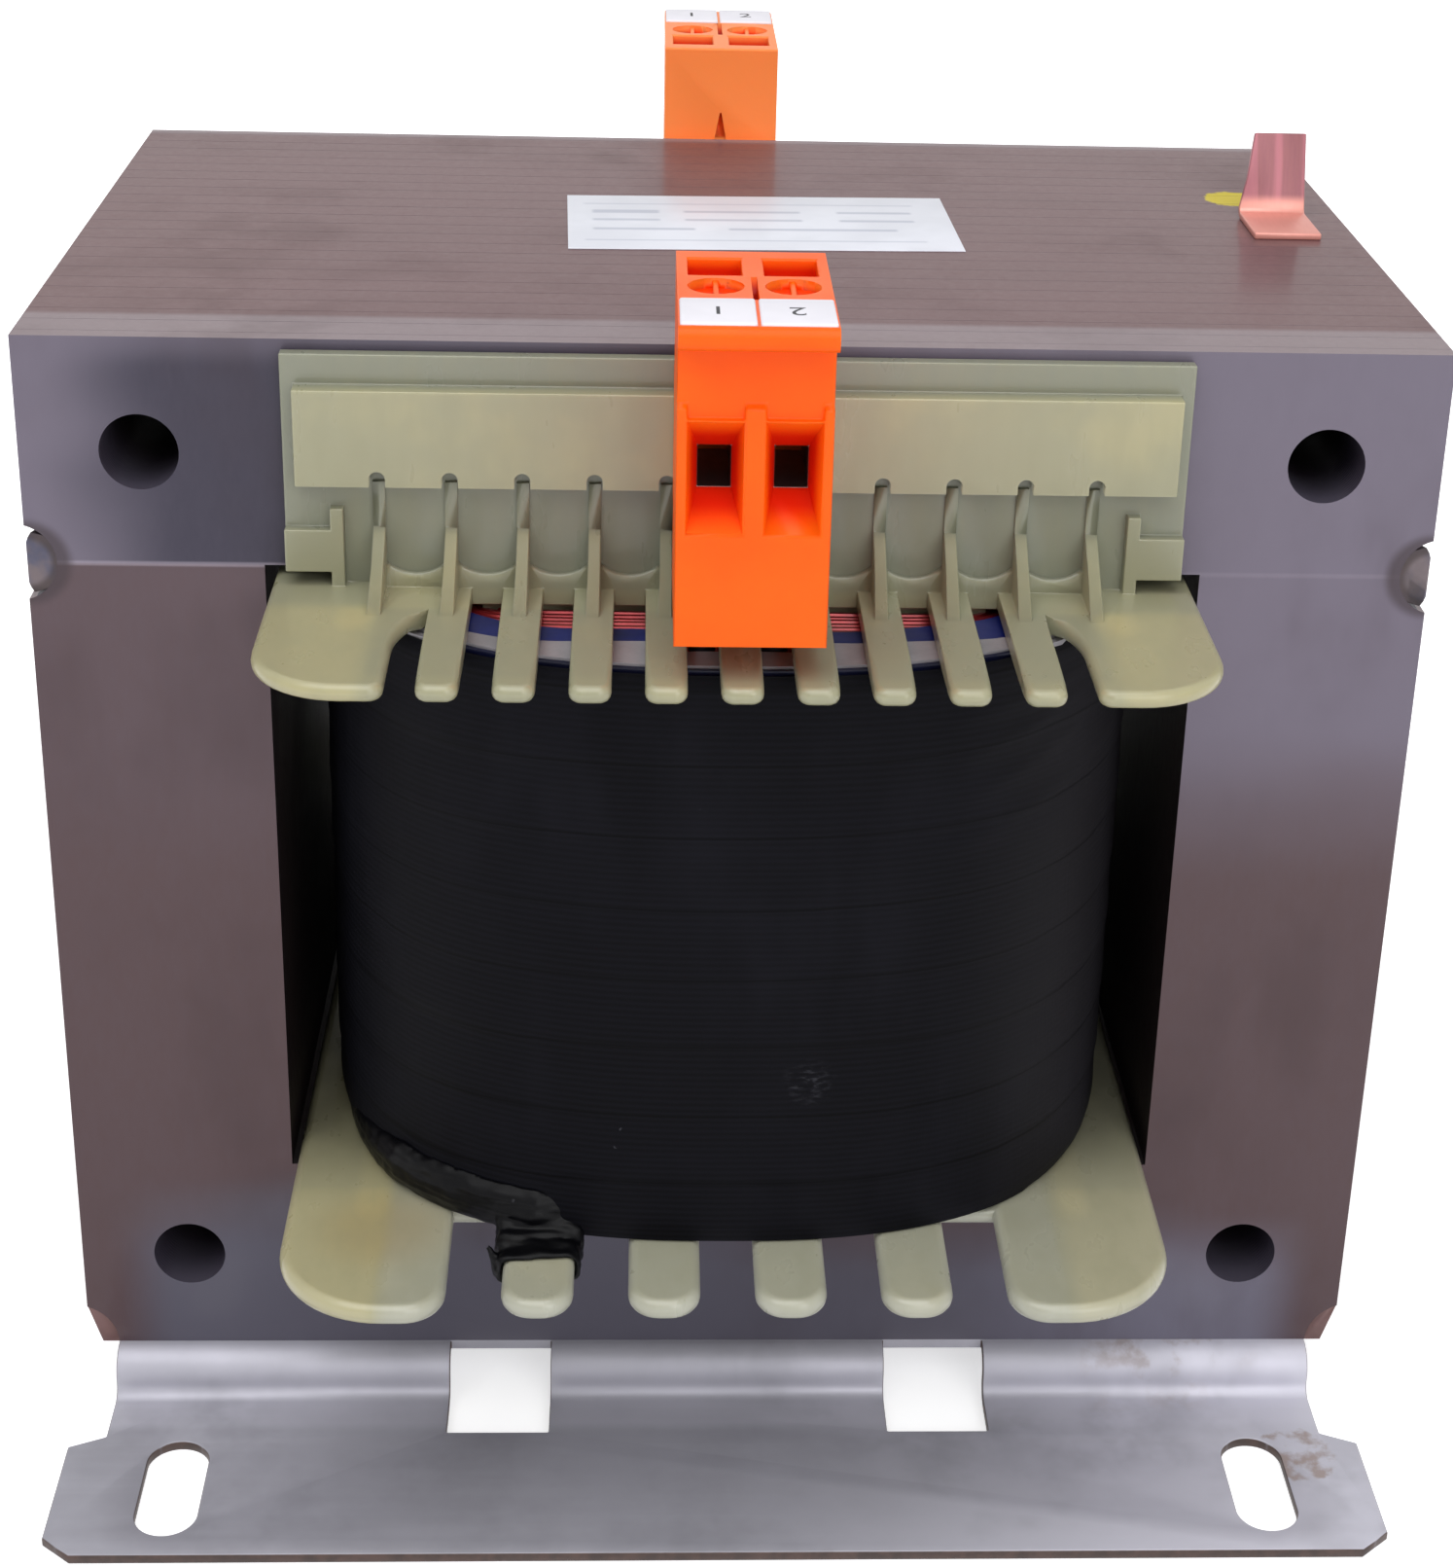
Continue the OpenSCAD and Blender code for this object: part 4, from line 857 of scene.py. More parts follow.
def satin_finish(name, tone, rough, depth=0.1):
    made, w, out, place = finish(name)
    cloud = w.noise(place, 240.0, 3.0)
    w.set(out["Base Color"], w.mix(w.ramp(cloud, 0.3, 0.75, 0.0, depth * 3), tone, toned(tone, 0.6)))
    w.set(out["Roughness"], w.plus(rough, w.times(cloud, 0.15)))
    bump(w, out, w.noise(place, 1800.0, 2.0), 0.00003, 0.3)
    return made


def tab_finish(s):
    made, w, out, place = finish("Plated earth tab", Metallic=0.4)
    z = w.split(place)[2]
    grain = w.group("Fine grain", place, 1500.0, (1.0, 0.2, 0.12))[0]
    # Painted shade: the upright blade is darker than the upward-facing foot, with lighter streaks.
    blade = w.ramp(z, CORE_TOP + 1.6 * MM, CORE_TOP + 3.0 * MM)
    streak = w.ramp(w.noise(w.stretch(place, (4.0, 0.4, 0.15)), 160.0, 2.0), 0.42, 0.6)
    dark = w.mix(streak, s.tab_dark, toned(s.tab_dark, 1.7))
    base = w.mix(blade, s.tab, dark)
    w.set(out["Base Color"], w.mix(w.times(grain, 0.3), base, toned(s.tab, 0.7)))
    w.set(out["Roughness"], w.plus(0.3, w.times(grain, 0.2)))
    bump(w, out, grain, 0.00005, 0.4)
    return made


def label_finish(s):
    low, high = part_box("rating_label")
    middle = (low + high) / 2
    made, w, out, place = finish("Satin label film", Metallic=0.1)
    turned = w.add("VectorMath", place, tuple(middle), operation="SUBTRACT").outputs[0]
    turned = w.stretch(turned, (1, 1, 1), rotation=(0, 0, math.radians(-1.8)))
    x, y, _ = w.split(turned)

    def inside(coordinate, centre, extent, blur):
        away = w.size(w.less(coordinate, centre * MM))
        return w.ramp(away, (extent / 2 + blur) * MM, (extent / 2 - blur) * MM)

    marks = [
        w.times(inside(x, cx, wide, 0.3), inside(y, cy, tall, 0.35)) for cx, cy, wide, tall in LABEL_BARS
    ]
    ink = marks[0]
    for mark in marks[1:]:
        ink = w.larger(ink, mark)
    cloud = w.noise(place, 90.0, 3.0)
    base = w.mix(w.ramp(cloud, 0.3, 0.7), s.label, toned(s.label, 0.9))
    w.set(out["Base Color"], w.mix(w.times(ink, 0.75), base, s.label_ink))
    w.set(out["Roughness"], w.plus(0.32, w.times(cloud, 0.15)))
    bump(w, out, w.noise(place, 700.0, 2.0), 0.00004, 0.3)
    return made


# ---------------------------------------------------------------- pieces


class TRANSFORMER_OT_core(bpy.types.Operator):
    """Finish the plates of the E stack and model those of the yoke with their ground top"""

    bl_idname = "transformer.core"
    bl_label = "Core"

    def execute(self, context):
        s = context.scene.transformer_core
        steel = core_finish(s)
        dress("e_lamination_stack", steel)
        yoke = merged_copy("i_lamination_stack", "yoke_plates", tidy=0)
        edit(yoke)
        pick(yoke, "vertices", lambda v: abs(v.co.z - CORE_TOP + GROOVE) < 0.02 * MM)
        bpy.ops.transform.translate(value=(0, 0, GROOVE - s.top_groove))
        settle(yoke, "core_steel", "i_lamination_stack", finish=steel)
        return {"FINISHED"}


def ripple_bead(node, ripple, swell):
    """A weld bead with its ripples, its crown swollen out to just under the side of the core."""
    piece = merged_copy(node, node + "_bead")
    edit(piece, "EDGE")

    def runs_back(edge):
        a, b = (piece.data.vertices[i].co for i in edge.vertices)
        return abs(a.y - b.y) > 20 * MM and min(a.z, b.z) > CORE_LOW + 0.05 * MM

    pick(piece, "edges", runs_back)
    bpy.ops.mesh.subdivide(number_cuts=90)
    let_go()
    middle = sum((v.co for v in piece.data.vertices), Vector()) / len(piece.data.vertices)
    for v in piece.data.vertices:
        out = math.copysign(1, v.co.x) * (v.co.x - middle.x)
        wave = math.sin(v.co.y / (0.8 * MM) + 1.4 * math.sin(v.co.z / (1.2 * MM)))
        lump = noise.noise(v.co * 420) * 2.2 + noise.noise(v.co * 130) * 2.0
        if abs(abs(v.co.y) - FACE_Y) > 0.05 * MM and abs(v.co.z - CORE_LOW) > 0.05 * MM and out > -0.6 * MM:
            v.co.x += math.copysign(1, v.co.x) * ripple * (0.6 * wave + lump - 1.2)
        if out > 0:
            v.co.x = math.copysign(min(abs(v.co.x) + swell, CORE_X - 0.1 * MM), v.co.x)
    return shade(piece, 60)


class TRANSFORMER_OT_welds(bpy.types.Operator):
    """Model the weld beads at the joint and at the foot of the core"""

    bl_idname = "transformer.welds"
    bl_label = "Weld beads"

    def execute(self, context):
        s = context.scene.transformer_core
        steel = bead_finish(s)
        for node in ("joint_weld_left", "joint_weld_right", "base_weld_left", "base_weld_right"):
            settle(
                ripple_bead(node, s.ripple, s.swell if "joint" in node else 0.0),
                "weld_metal",
                node,
                finish=steel,
            )
        return {"FINISHED"}


class TRANSFORMER_OT_feet(bpy.types.Operator):
    """Model the two bent feet with rounded sheared edges"""

    bl_idname = "transformer.feet"
    bl_label = "Feet"

    def execute(self, context):
        s = context.scene.transformer_core
        steel = foot_finish(s)
        for node in ("front_foot", "rear_foot"):
            piece = halve(merged_copy(node, node + "_sheet"), -SLOT_X, SLOT_X)
            round_edges(piece, s.foot_edge)
            settle(shade(piece), "foot_steel", node, finish=steel)
        return {"FINISHED"}


class TRANSFORMER_OT_bobbin(bpy.types.Operator):
    """Model the moulded bobbin with soft edges"""

    bl_idname = "transformer.bobbin"
    bl_label = "Bobbin"

    def execute(self, context):
        s = context.scene.transformer_coil
        piece = halve(merged_copy("bobbin", "bobbin_moulding"), 0.0)
        for low, high, width in (
            (COIL_TOP, CHEEK_TOP, s.top_rim), (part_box("bobbin")[0].z, COIL_LOW, s.low_rim)
        ):
            bevel_edges(
                piece, rims(piece, high, 1, 55 * MM) | rims(piece, low, -1, 55 * MM), width, 4, clamp=False
            )
        soften(piece, s.bobbin_edge, 0.9 * MM)
        settle(shade(piece, 45, flats=True), "bobbin_plastic", "bobbin", finish=bobbin_finish(s))
        return {"FINISHED"}


def wire_turn(a, b, bend, level, wire, count=180):
    """One closed turn of round wire."""
    let_go()
    bpy.ops.mesh.primitive_circle_add(vertices=count, radius=a, fill_type="NOTHING")
    turn = bpy.context.object
    for v, angle in zip(turn.data.vertices, even_turns(a, b, bend, count)):
        x, y = outline(a, b, bend, angle)
        wander = noise.noise(Vector((x * 60, y * 60, a * 900))) * 0.12 * wire
        v.co = (x, y, level + wander)
    bpy.ops.object.convert(target="CURVE")
    turn = bpy.context.object
    turn.data.bevel_depth = wire / 2
    turn.data.bevel_resolution = 1
    bpy.ops.object.convert(target="MESH")
    return bpy.context.object


def wound(node, name, inner, outer, bends, wire, level):
    """A winding: its closed body with the turns of its top row laid on it."""
    body = merged_copy(node, name)
    edit(body)
    top = max(v.co.z for v in body.data.vertices)
    pick(body, "vertices", lambda v: v.co.z > top - 0.1 * MM)
    bpy.ops.transform.translate(value=(0, 0, -wire * 0.6))
    let_go()
    count = max(2, round((outer[1] - inner[1]) / wire))
    turns = []
    for i in range(count):
        t = (i + 0.5) / count
        a = inner[0] + (outer[0] - inner[0]) * t
        b = inner[1] + (outer[1] - inner[1]) * t
        bend = [p + (q - p) * t for p, q in zip(*bends)]
        turns.append(wire_turn(a, b, bend, level - wire / 2, wire))
    take(body)
    for turn in turns:
        turn.select_set(True)
    bpy.ops.object.join()
    return shade(body, 50)


def loosen(piece, inward, amount, level):
    """Makes the inner rim of a folded wrap uneven, as a sheet folded by hand is."""
    for v in piece.data.vertices:
        if v.co.z < level - 0.05 * MM:
            continue
        across = inward(v.co)
        if across > 0:
            push = noise.noise(Vector((v.co.x * 70, v.co.y * 70, level * 900))) * amount * across
            flat = Vector((v.co.x, v.co.y, 0)).normalized()
            v.co += flat * push
    return piece


class TRANSFORMER_OT_windings(bpy.types.Operator):
    """Model the two windings with their turns, and the insulation between them"""

    bl_idname = "transformer.windings"
    bl_label = "Windings"

    def execute(self, context):
        s = context.scene.transformer_coil
        copper = copper_finish(s)
        level = COPPER_HIGH.z
        primary = (PRIMARY_HIGH.x, PRIMARY_HIGH.y)
        gap = 0.6 * MM
        secondary = (COPPER_HIGH.x, COPPER_HIGH.y)
        start = (primary[0] + gap, primary[1] + gap)
        for name, inner, outer, bends in (
            ("primary", BORE, primary, (BORE_BEND, INNER_BEND)),
            ("secondary", start, secondary, (INNER_BEND, OUTER_BEND)),
        ):
            turns = wound(name + "_winding", name + "_turns", inner, outer, bends, s.wire, level)
            settle(turns, "copper", name + "_winding", finish=copper)
        dress("interlayer_insulation", paper_finish(s))
        return {"FINISHED"}


class TRANSFORMER_OT_wraps(bpy.types.Operator):
    """Model the film and paper wraps with their folded margins"""

    bl_idname = "transformer.wraps"
    bl_label = "Film and paper"

    def execute(self, context):
        s = context.scene.transformer_coil
        for node, slot, surface in (
            ("inner_film_wrap", "film", film_finish(s, "Blue film", tuple(s.film))),
            ("paper_wrap", "paper", bpy.data.materials["Insulating paper"]),
            ("outer_film_wrap", "film", film_finish(s, "Dark outer film", tuple(s.film_dark))),
        ):
            piece = merged_copy(node, node + "_sheet")
            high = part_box(node)[1]

            def inward(co, high=high):
                reach = max(abs(co.x) / high.x, abs(co.y) / high.y)
                return max(0.0, min(1.0, (0.97 - reach) * 12))

            loosen(piece, inward, 1.6 * MM, high.z - 0.4 * MM)
            settle(shade(piece, 30), slot, node, finish=surface)
        return {"FINISHED"}


def tied_tail(a, b):
    """The end of the tape: a rolled strap under the coil, wound round a finger of the lower cheek."""
    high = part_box("tape_tail")[1]
    finger_x, finger_half = high.x - 5.0 * MM, 3.9 * MM
    finger_low, finger_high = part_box("bobbin")[0].z, COIL_LOW
    let_go()
    steps, rows = 70, 12
    bpy.ops.mesh.primitive_grid_add(x_subdivisions=steps, y_subdivisions=rows, size=1)
    strap = bpy.context.object
    start = math.pi * 1.1
    fine = (start + 0.001 * i for i in range(3000))
    end = next(t for t in fine if outline(a, b, OUTER_BEND, t)[0] > finger_x + 3.4 * MM)
    for v in strap.data.vertices:
        along, over = v.co.x + 0.5, v.co.y + 0.5
        turn = start + (end - start) * along
        grown = min(1.0, along * 2.2) * min(1.0, (1 - along) * 12)
        tall = (2.6 + 2.6 * grown) * MM
        bulge = (math.sin(math.pi * over) ** 0.6 * 1.15 * grown - 0.75 * (1 - grown)) * MM
        coarse = noise.noise(Vector((along * 6, over * 7, 3.0))) * 0.3
        crinkle = noise.noise(Vector((along * 22, over * 9, 7.0))) * 0.1
        wrinkle = (coarse + crinkle) * MM
        x, y = outline(
            a + bulge + wrinkle * grown - 0.25 * MM,
            b + bulge + wrinkle * grown - 0.25 * MM,
            OUTER_BEND,
            turn,
        )
        lift = noise.noise(Vector((along * 12, 0.0, 1.0))) * 0.3 * MM * over
        v.co = (x, y, TAPE_LOW.z + tall * over + lift)
    modify(strap, "SOLIDIFY", thickness=1.0 * MM, offset=0)

    pieces = [strap]
    for shift, tilt, lift, swell in (
        (0.0, 0.06, 0.0, 0.8), (1.6, -0.12, 0.2, 0.95), (3.0, 0.1, 0.6, 1.05), (4.2, -0.05, 1.2, 1.1)
    ):
        let_go()
        bpy.ops.mesh.primitive_torus_add(
            major_segments=56, minor_segments=12, major_radius=1, minor_radius=0.2
        )
        band = bpy.context.object
        for index, v in enumerate(band.data.vertices):
            ring, spot = divmod(index, 12)
            turn, small = math.tau * ring / 56, math.tau * spot / 12
            out = (0.5 + 0.45 * math.cos(small)) * 0.9 * MM * swell
            wide, tall = finger_half + out, (finger_high - finger_low) / 2 + out
            cx, cz = outline(wide, tall, (5.0, 5.0), turn)
            y = -(67.9 - shift) * MM + 1.25 * MM * math.sin(small) + tilt * cx * 1.2
            wrinkle = noise.noise(Vector((cx * 500, y * 900, cz * 500))) * 0.25 * MM
            rise = lift * MM if cz > 0 else 0.0
            v.co = (finger_x + cx + wrinkle, y, (finger_low + finger_high) / 2 + cz + wrinkle + rise)
        pieces.append(band)

    let_go()
    knot = (finger_x - finger_half - 0.9 * MM, -67.8 * MM, finger_low + 1.9 * MM)
    bpy.ops.mesh.primitive_cone_add(
        vertices=14, radius1=1.1 * MM, radius2=0.25 * MM, depth=3.6 * MM, location=knot
    )
    loose = bpy.context.object
    edit(loose)
    bpy.ops.mesh.select_all(action="SELECT")
    bpy.ops.mesh.subdivide(number_cuts=3)
    bpy.ops.transform.rotate(value=math.radians(24), orient_axis="Y", center_override=knot)
    take(loose)
    bpy.ops.object.transform_apply(location=True, rotation=True, scale=True)
    pieces.append(loose)

    take(strap)
    for piece in pieces:
        piece.select_set(True)
    bpy.ops.object.join()
    strap.name = "tape_tail_roll"
    modify(strap, "REMESH", mode="VOXEL", voxel_size=0.26 * MM)
    for v in strap.data.vertices:
        ply = noise.noise(Vector((v.co.x * 260, v.co.y * 1300, v.co.z * 1300))) * 0.24 * MM
        at_knot = v.co.z < 38 * MM and v.co.x > high.x - 10 * MM
        v.co += v.normal * (ply * (1.0 if at_knot else 0.25) + noise.noise(v.co * 700) * 0.08 * MM)
    return modify(strap, "SMOOTH", factor=0.5, iterations=3)


class TRANSFORMER_OT_tape(bpy.types.Operator):
    """Model the overlapping turns of black tape and the tail tied round a finger"""

    bl_idname = "transformer.tape"
    bl_label = "Black tape"

    def execute(self, context):
        s = context.scene.transformer_coil
        around, rows = 220, 100
        low, high = TAPE_LOW.z, TAPE_HIGH.z
        a, b = TAPE_HIGH.x - 0.15 * MM, TAPE_HIGH.y - 0.15 * MM
        let_go()
        bpy.ops.mesh.primitive_circle_add(
            vertices=around, radius=a, fill_type="NOTHING", location=(0, 0, low)
        )
        wrap = bpy.context.object
        wrap.name = "black_tape_turns"
        turns = even_turns(a, b, OUTER_BEND, around)
        edit(wrap)
        bpy.ops.mesh.select_all(action="SELECT")
        for _ in range(rows):
            bpy.ops.mesh.extrude_region_move(TRANSFORM_OT_translate={"value": (0, 0, (high - low) / rows)})
        take(wrap)
        bpy.ops.object.transform_apply(location=True)
        laid = wrap.data.attributes.new("laid", "FLOAT", "POINT")
        for index, v in enumerate(wrap.data.vertices):
            row, column = divmod(index, around)
            turn = turns[column]
            level = low + (high - low) * row / rows
            drift = noise.noise(Vector((math.cos(turn) * 2, math.sin(turn) * 2, level * 60)))
            slant = 1.4 * MM * math.sin(turn * 0.5 + 0.4) + 0.5 * MM * drift
            place = (level - low + slant) / s.tape_band
            laid.data[index].value = place
            band = place - math.floor(place)
            step = s.tape_step * (1 - band) ** 1.5
            wander = noise.noise(Vector((math.cos(turn) * 3, math.sin(turn) * 3, level * 90))) * 0.12 * MM
            crease = 0.0
            if turn > math.pi * 1.62:
                along = min(1.0, (turn - math.pi * 1.62) / (math.pi * 0.26))
                for start, fall, wide in ((16, 10, 0.9), (11, 8, 0.7), (21, 9, 1.2), (6, 4, 0.7)):
                    fold = (high - level) - (start - fall * along) * MM
                    fade = math.sin(math.pi * min(1.0, along * 1.1)) ** 0.5
                    crease += 0.26 * MM * math.exp(-((fold / (wide * MM)) ** 2)) * fade
            end = min(1.0, (level - low) / (2 * MM), (high - level) / (1.5 * MM))
            push = (step - s.tape_step * 0.5 + wander + crease) - (1 - end) * 0.5 * MM
            x, y = outline(a + push, b + push, OUTER_BEND, turn)
            v.co = (min(max(x, -TAPE_HIGH.x), TAPE_HIGH.x), min(max(y, -TAPE_HIGH.y), TAPE_HIGH.y), level)
        edit(wrap)
        bpy.ops.mesh.select_all(action="SELECT")
        bpy.ops.mesh.normals_make_consistent(inside=False)
        let_go()
        modify(wrap, "SOLIDIFY", thickness=0.7 * MM, offset=-1, use_even_offset=False)
        settle(shade(wrap, 60), "black_tape", "black_tape_wrap", finish=tape_finish(s, "Black tape", 0.42))

        tail = tied_tail(a, b)
        settle(
            shade(tail, 70),
            "black_tape",
            "tape_tail",
            finish=tape_finish(s, "Rolled black tape", 0.24, 0.12),
        )
        return {"FINISHED"}


class TRANSFORMER_OT_leads(bpy.types.Operator):
    """Finish the leads and their sleeves"""

    bl_idname = "transformer.leads"
    bl_label = "Leads"

    def execute(self, context):
        copper = bpy.data.materials["Enamelled copper"]
        sleeve = satin_finish("Insulating sleeve", context.scene.transformer_terminals.sleeve, 0.4)
        for end in ("front", "rear"):
            for side in ("left", "right"):
                dress(f"{end}_{side}_lead", copper)
                dress(f"{end}_{side}_sleeve", sleeve)
        return {"FINISHED"}


class TRANSFORMER_OT_terminals(bpy.types.Operator):
    """Model the two clamp terminals with their cages, springs and contact bars"""

    bl_idname = "transformer.terminals"
    bl_label = "Terminals"

    def execute(self, context):
        s = context.scene.transformer_terminals
        shell = shell_finish(s)
        plated = metal_finish("Plated clamp", tuple(s.clamp), 0.26)
        bright = metal_finish("Contact bar", tuple(s.contact), 0.24)
        for end in ("front", "rear"):
            body = merged_copy(end + "_terminal_body", end + "_terminal_shell")
            low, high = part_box(end + "_terminal_body")
            middle, way = (low.x + high.x) / 2, (-1 if end == "front" else 1)
            for pole in (middle - HALF_PITCH, middle + HALF_PITCH):

                def at_mouth(v, pole=pole):
                    aside = abs(abs(v.co.x - pole) - 1.6 * MM)
                    return max(abs(abs(v.co.y) - 68.5 * MM), aside) < 0.03 * MM

                edit(body)
                pick(body, "vertices", at_mouth)
                bpy.ops.transform.resize(value=(1.04, 1, 1.03))
                let_go()
            near, far = sorted((way * 59.8 * MM, way * 67.6 * MM))
            cut_away(body, (middle - 0.3 * MM, near, 140.2 * MM), (middle + 0.3 * MM, far, high.z + 1 * MM))
            if end == "rear":
                notch_low, notch_high = (-0.8 * MM, 50.0 * MM, CORE_TOP - 1 * MM), (
                    0.8 * MM, 52.6 * MM, CORE_TOP + 2.6 * MM
                )
                cut_away(body, notch_low, notch_high, taper=0.15)

            def outer(a, b):
                reach = min(abs(a.y), abs(b.y))
                aside = min(abs(a.x - middle), abs(b.x - middle)) > 7.4 * MM
                return reach > 68.6 * MM or min(a.z, b.z) > 134 * MM or (aside and reach > 54.5 * MM)

            soften(body, s.shell_edge, 0.65 * MM, where=outer)
            settle(shade(body, flats=True), "terminal_plastic", end + "_terminal_body", finish=shell)
            for part, surface, slot in (
                ("clamp_cages", plated, "clamp_metal"), ("clamp_springs", plated, "clamp_metal"), (
                    "contact_bars", bright, "contact_metal"
                ),
            ):
                node = f"{end}_{part}"
                piece = merged_copy(node, node + "_metal")
                if part == "clamp_cages":
                    halve(piece, middle - HALF_PITCH, middle + HALF_PITCH)
                round_edges(piece, 0.1 * MM)
                settle(shade(piece), slot, node, finish=surface)
        return {"FINISHED"}


class TRANSFORMER_OT_markers(bpy.types.Operator):
    """Model the marker tags and their numbers"""

    bl_idname = "transformer.markers"
    bl_label = "Marker tags"

    def execute(self, context):
        s = context.scene.transformer_terminals
        tag_surface = satin_finish("Marker tag", tuple(s.tag), 0.35, 0.04)
        ink = satin_finish("Marker number", tuple(s.numeral), 0.5, 0.1)
        for end, turn in (("front", math.pi), ("rear", 0.0)):
            for number, side in enumerate(("left", "right"), 1):
                node = f"{end}_marker_{side}"
                tag = merged_copy(node, node + "_tag")
                round_edges(tag, 0.25 * MM, 3)
                settle(shade(tag), "marker", node, finish=tag_surface)
                low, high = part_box(node)
                let_go()
                place = ((low.x + high.x) / 2, (low.y + high.y) / 2, high.z - 0.02 * MM)
                bpy.ops.object.text_add(location=place, rotation=(0, 0, turn))
                numeral = bpy.context.object
                numeral.name = node + "_number"
                numeral.data.body = str(number)
                numeral.data.size = 3.6 * MM
                numeral.data.align_x, numeral.data.align_y = "CENTER", "CENTER"
                numeral.data.extrude = 0.03 * MM
                bpy.ops.object.convert(target="MESH")
                edit(bpy.context.object)
                bpy.ops.mesh.select_all(action="SELECT")
                bpy.ops.mesh.remove_doubles(threshold=TIGHT)
                let_go()
                settle(numeral, "marker", finish=ink)
        return {"FINISHED"}


class TRANSFORMER_OT_earth_tab(bpy.types.Operator):
    """Model the earth tab"""

    bl_idname = "transformer.earth_tab"
    bl_label = "Earth tab"

    def execute(self, context):
        s = context.scene.transformer_terminals
        tab = merged_copy("earth_tab", "earth_tab_blade")
        round_edges(tab, 0.16 * MM, angle=40)
        settle(shade(tab), "tab_metal", "earth_tab", finish=tab_finish(s))
        return {"FINISHED"}


class TRANSFORMER_OT_label(bpy.types.Operator):
    """Model the plain rating label with rules and bars in place of words"""

    bl_idname = "transformer.label"
    bl_label = "Label"

    def execute(self, context):
        s = context.scene.transformer_terminals
        label = merged_copy("rating_label", "rating_label_film")
        round_edges(label, 0.05 * MM)
        settle(shade(label), "label", "rating_label", finish=label_finish(s))
        return {"FINISHED"}


# ---------------------------------------------------------------- stage


def soft_lamp(name, place, aim, size, power):
    lamp = bpy.data.lights.new(name, "AREA")
    lamp.shape, lamp.size, lamp.size_y, lamp.energy = "RECTANGLE", size, size, power
    holder = bpy.data.objects.new(name, lamp)
    holder.location = place
    holder.rotation_euler = (Vector(aim) - Vector(place)).to_track_quat("-Z", "Y").to_euler()
    bpy.context.scene.collection.objects.link(holder)


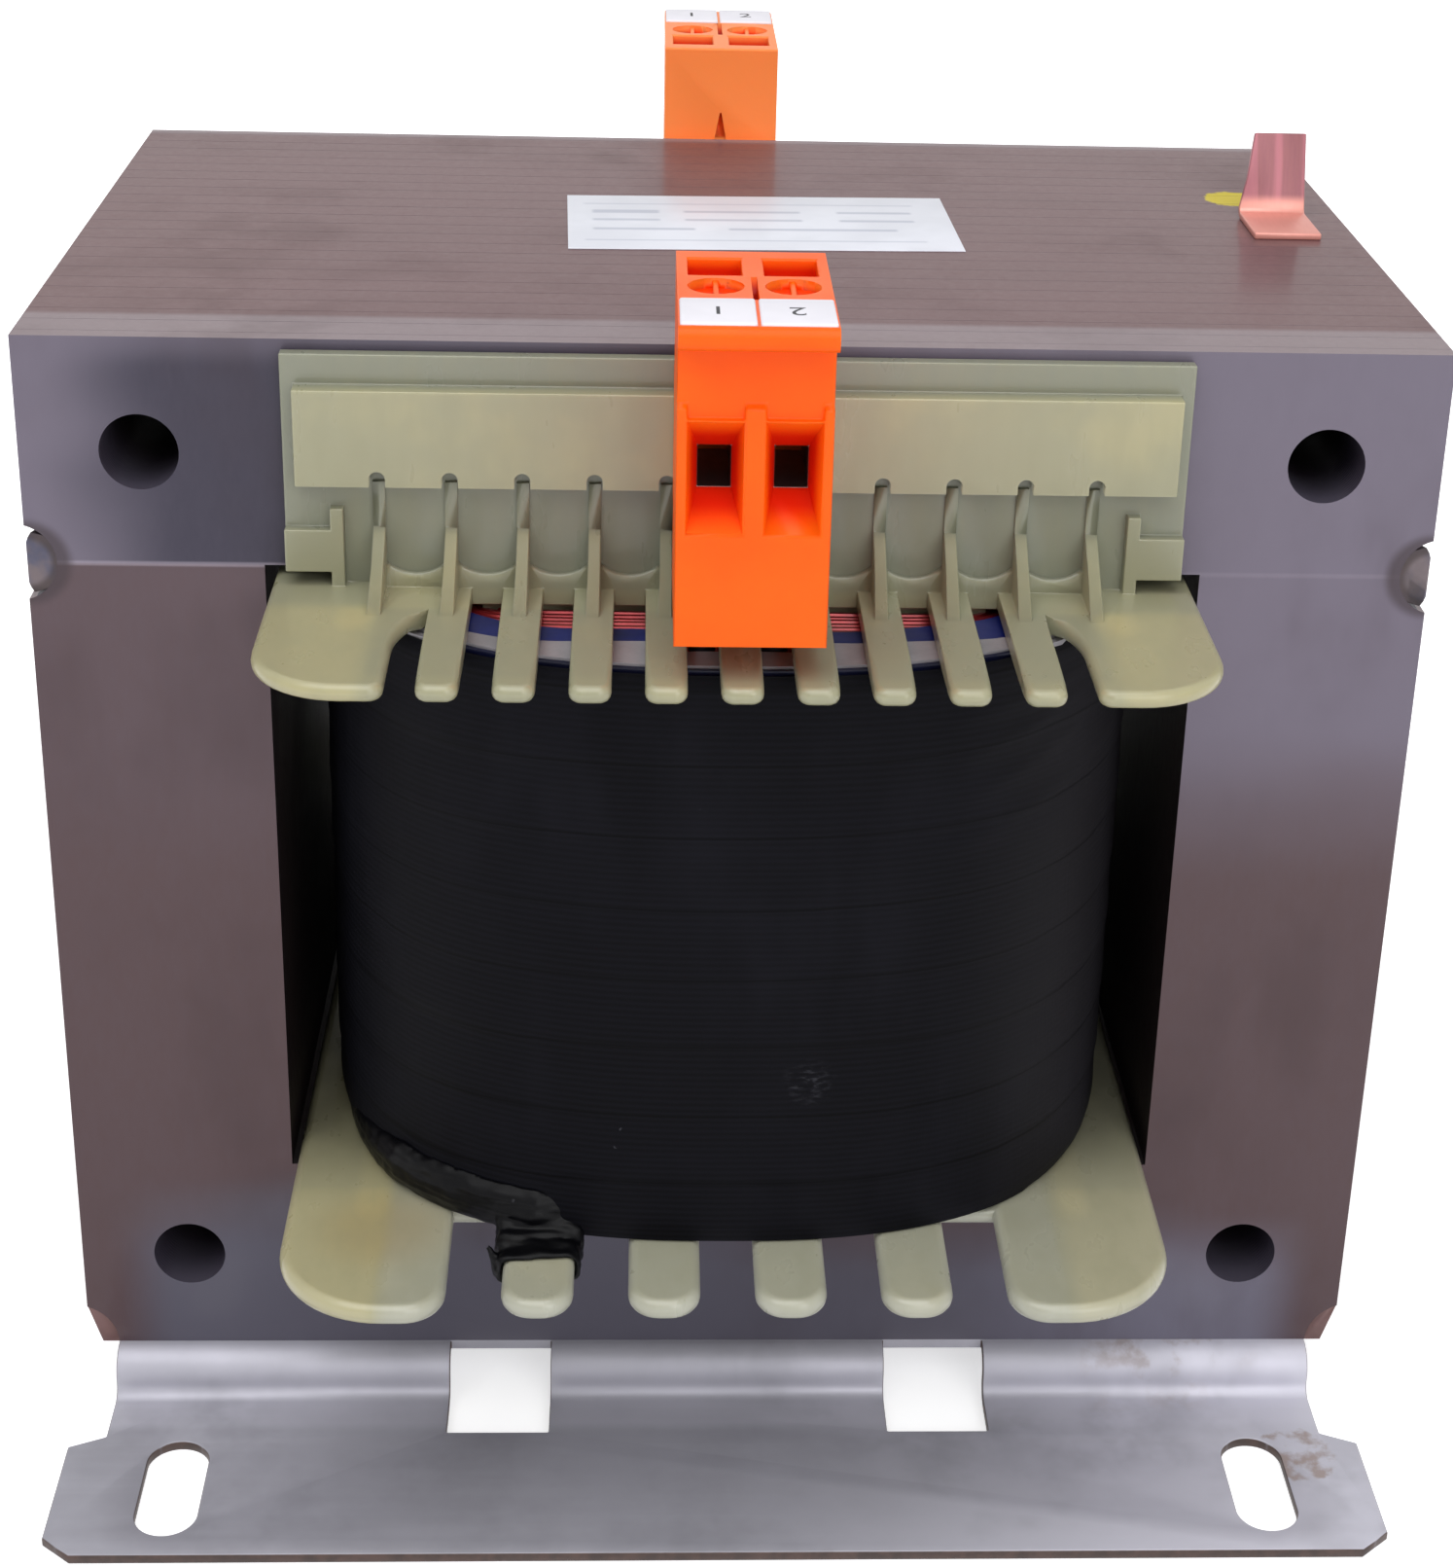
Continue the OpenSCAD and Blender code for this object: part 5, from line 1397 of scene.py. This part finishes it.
class TRANSFORMER_OT_stage(bpy.types.Operator):
    """Set up the camera, the pale floor and the soft light"""

    bl_idname = "transformer.stage"
    bl_label = "Stage"

    @staticmethod
    def background_rays(w):
        """1 for the rays that show the background: straight to the camera, or in metal and clear pieces."""
        rays = w.add("LightPath").outputs
        return w.larger(rays["Is Camera Ray"], w.larger(rays["Is Glossy Ray"], rays["Is Transmission Ray"]))

    def execute(self, context):
        s = context.scene.transformer_stage
        scene = context.scene
        scene.view_settings.view_transform = "Standard"

        lens = bpy.data.cameras.new("Camera")
        lens.sensor_width = SENSOR
        lens.lens = FOCAL * SENSOR / FRAME[1]
        lens.shift_x = (FRAME[0] / 2 - CENTRE[0]) / FRAME[1]
        lens.shift_y = (CENTRE[1] - FRAME[1] / 2) / FRAME[1]
        lens.clip_start, lens.clip_end = 0.01, 20
        camera = bpy.data.objects.new("Camera", lens)
        across = Vector((0.99893261, -0.03781025, 0.02653367))
        down = Vector((0.00952088, -0.39355472, -0.91925189))
        ahead = Vector((0.0451996, 0.91852331, -0.39277465))
        turn = Matrix((across, -down, -ahead)).transposed().to_4x4()
        camera.matrix_world = Matrix.Translation((-0.01018, -0.32844, 0.21893)) @ turn
        scene.collection.objects.link(camera)
        scene.camera = camera

        let_go()
        bpy.ops.mesh.primitive_plane_add(size=8, location=(0, 1.5, 0))
        floor = bpy.context.object
        floor.name = "floor"
        bpy.ops.object.transform_apply(location=True)
        surface, w, out, place = finish("Pale floor", Specular_IOR_Level=0.2, Roughness=0.6)
        cloud = w.noise(place, 3.0, 2.0)
        w.set(out["Base Color"], w.mix(w.ramp(cloud, 0.3, 0.7), s.floor, toned(s.floor, 0.985)))
        far = w.ramp(w.add("VectorMath", place, operation="LENGTH").outputs["Value"], 0.12, 0.5, 0.55, 1.0)
        w.set(out["Emission Color"], (1.0, 1.0, 1.0))
        w.set(out["Emission Strength"], w.times(self.background_rays(w), far))
        floor.data.materials.append(surface)

        world = bpy.data.worlds.new("Surroundings")
        scene.world = world
        world.use_nodes = True
        w = Wiring(world.node_tree)
        light = world.node_tree.nodes["Background"]
        w.set(light.inputs["Color"], (1.0, 1.0, 1.0))
        w.set(light.inputs["Strength"], w.ramp(self.background_rays(w), 0.0, 1.0, s.sky, 1.0))

        soft_lamp("Overhead", (-0.2, -0.45, 1.1), (0, 0, 0.05), 1.1, s.overhead * 10)
        soft_lamp("Side", (0.5, -1.1, 0.6), (0, 0, 0.07), 0.8, s.side * 10)
        let_go()
        return {"FINISHED"}


PIECES = (
    TRANSFORMER_OT_core,
    TRANSFORMER_OT_welds,
    TRANSFORMER_OT_feet,
    TRANSFORMER_OT_bobbin,
    TRANSFORMER_OT_windings,
    TRANSFORMER_OT_wraps,
    TRANSFORMER_OT_tape,
    TRANSFORMER_OT_leads,
    TRANSFORMER_OT_terminals,
    TRANSFORMER_OT_markers,
    TRANSFORMER_OT_earth_tab,
    TRANSFORMER_OT_label,
    TRANSFORMER_OT_stage,
)
SETTINGS = {
    "transformer_core": TransformerCoreSettings,
    "transformer_coil": TransformerCoilSettings,
    "transformer_terminals": TransformerTerminalSettings,
    "transformer_stage": TransformerStageSettings,
}


class TRANSFORMER_PT_panel(bpy.types.Panel):
    """Lists the pieces and their settings"""

    bl_idname = "TRANSFORMER_PT_panel"
    bl_label = "Chassis transformer"
    bl_space_type = "VIEW_3D"
    bl_region_type = "UI"
    bl_category = "Transformer"

    def draw(self, context):
        layout = self.layout
        for piece in PIECES:
            layout.operator(piece.bl_idname)
        for name, group in SETTINGS.items():
            box = layout.box()
            for key in group.__annotations__:
                box.prop(getattr(context.scene, name), key)


def register():
    for group in SETTINGS.values():
        bpy.utils.register_class(group)
    for piece in PIECES:
        bpy.utils.register_class(piece)
    bpy.utils.register_class(TRANSFORMER_PT_panel)
    for name, group in SETTINGS.items():
        setattr(bpy.types.Scene, name, bpy.props.PointerProperty(type=group))


def unregister():
    for name in SETTINGS:
        delattr(bpy.types.Scene, name)
    bpy.utils.unregister_class(TRANSFORMER_PT_panel)
    for piece in reversed(PIECES):
        bpy.utils.unregister_class(piece)
    for group in reversed(tuple(SETTINGS.values())):
        bpy.utils.unregister_class(group)


def main():
    register()
    make_effects()
    for piece in PIECES:
        family, name = piece.bl_idname.split(".")
        getattr(getattr(bpy.ops, family), name)()


if __name__ == "__main__":
    main()
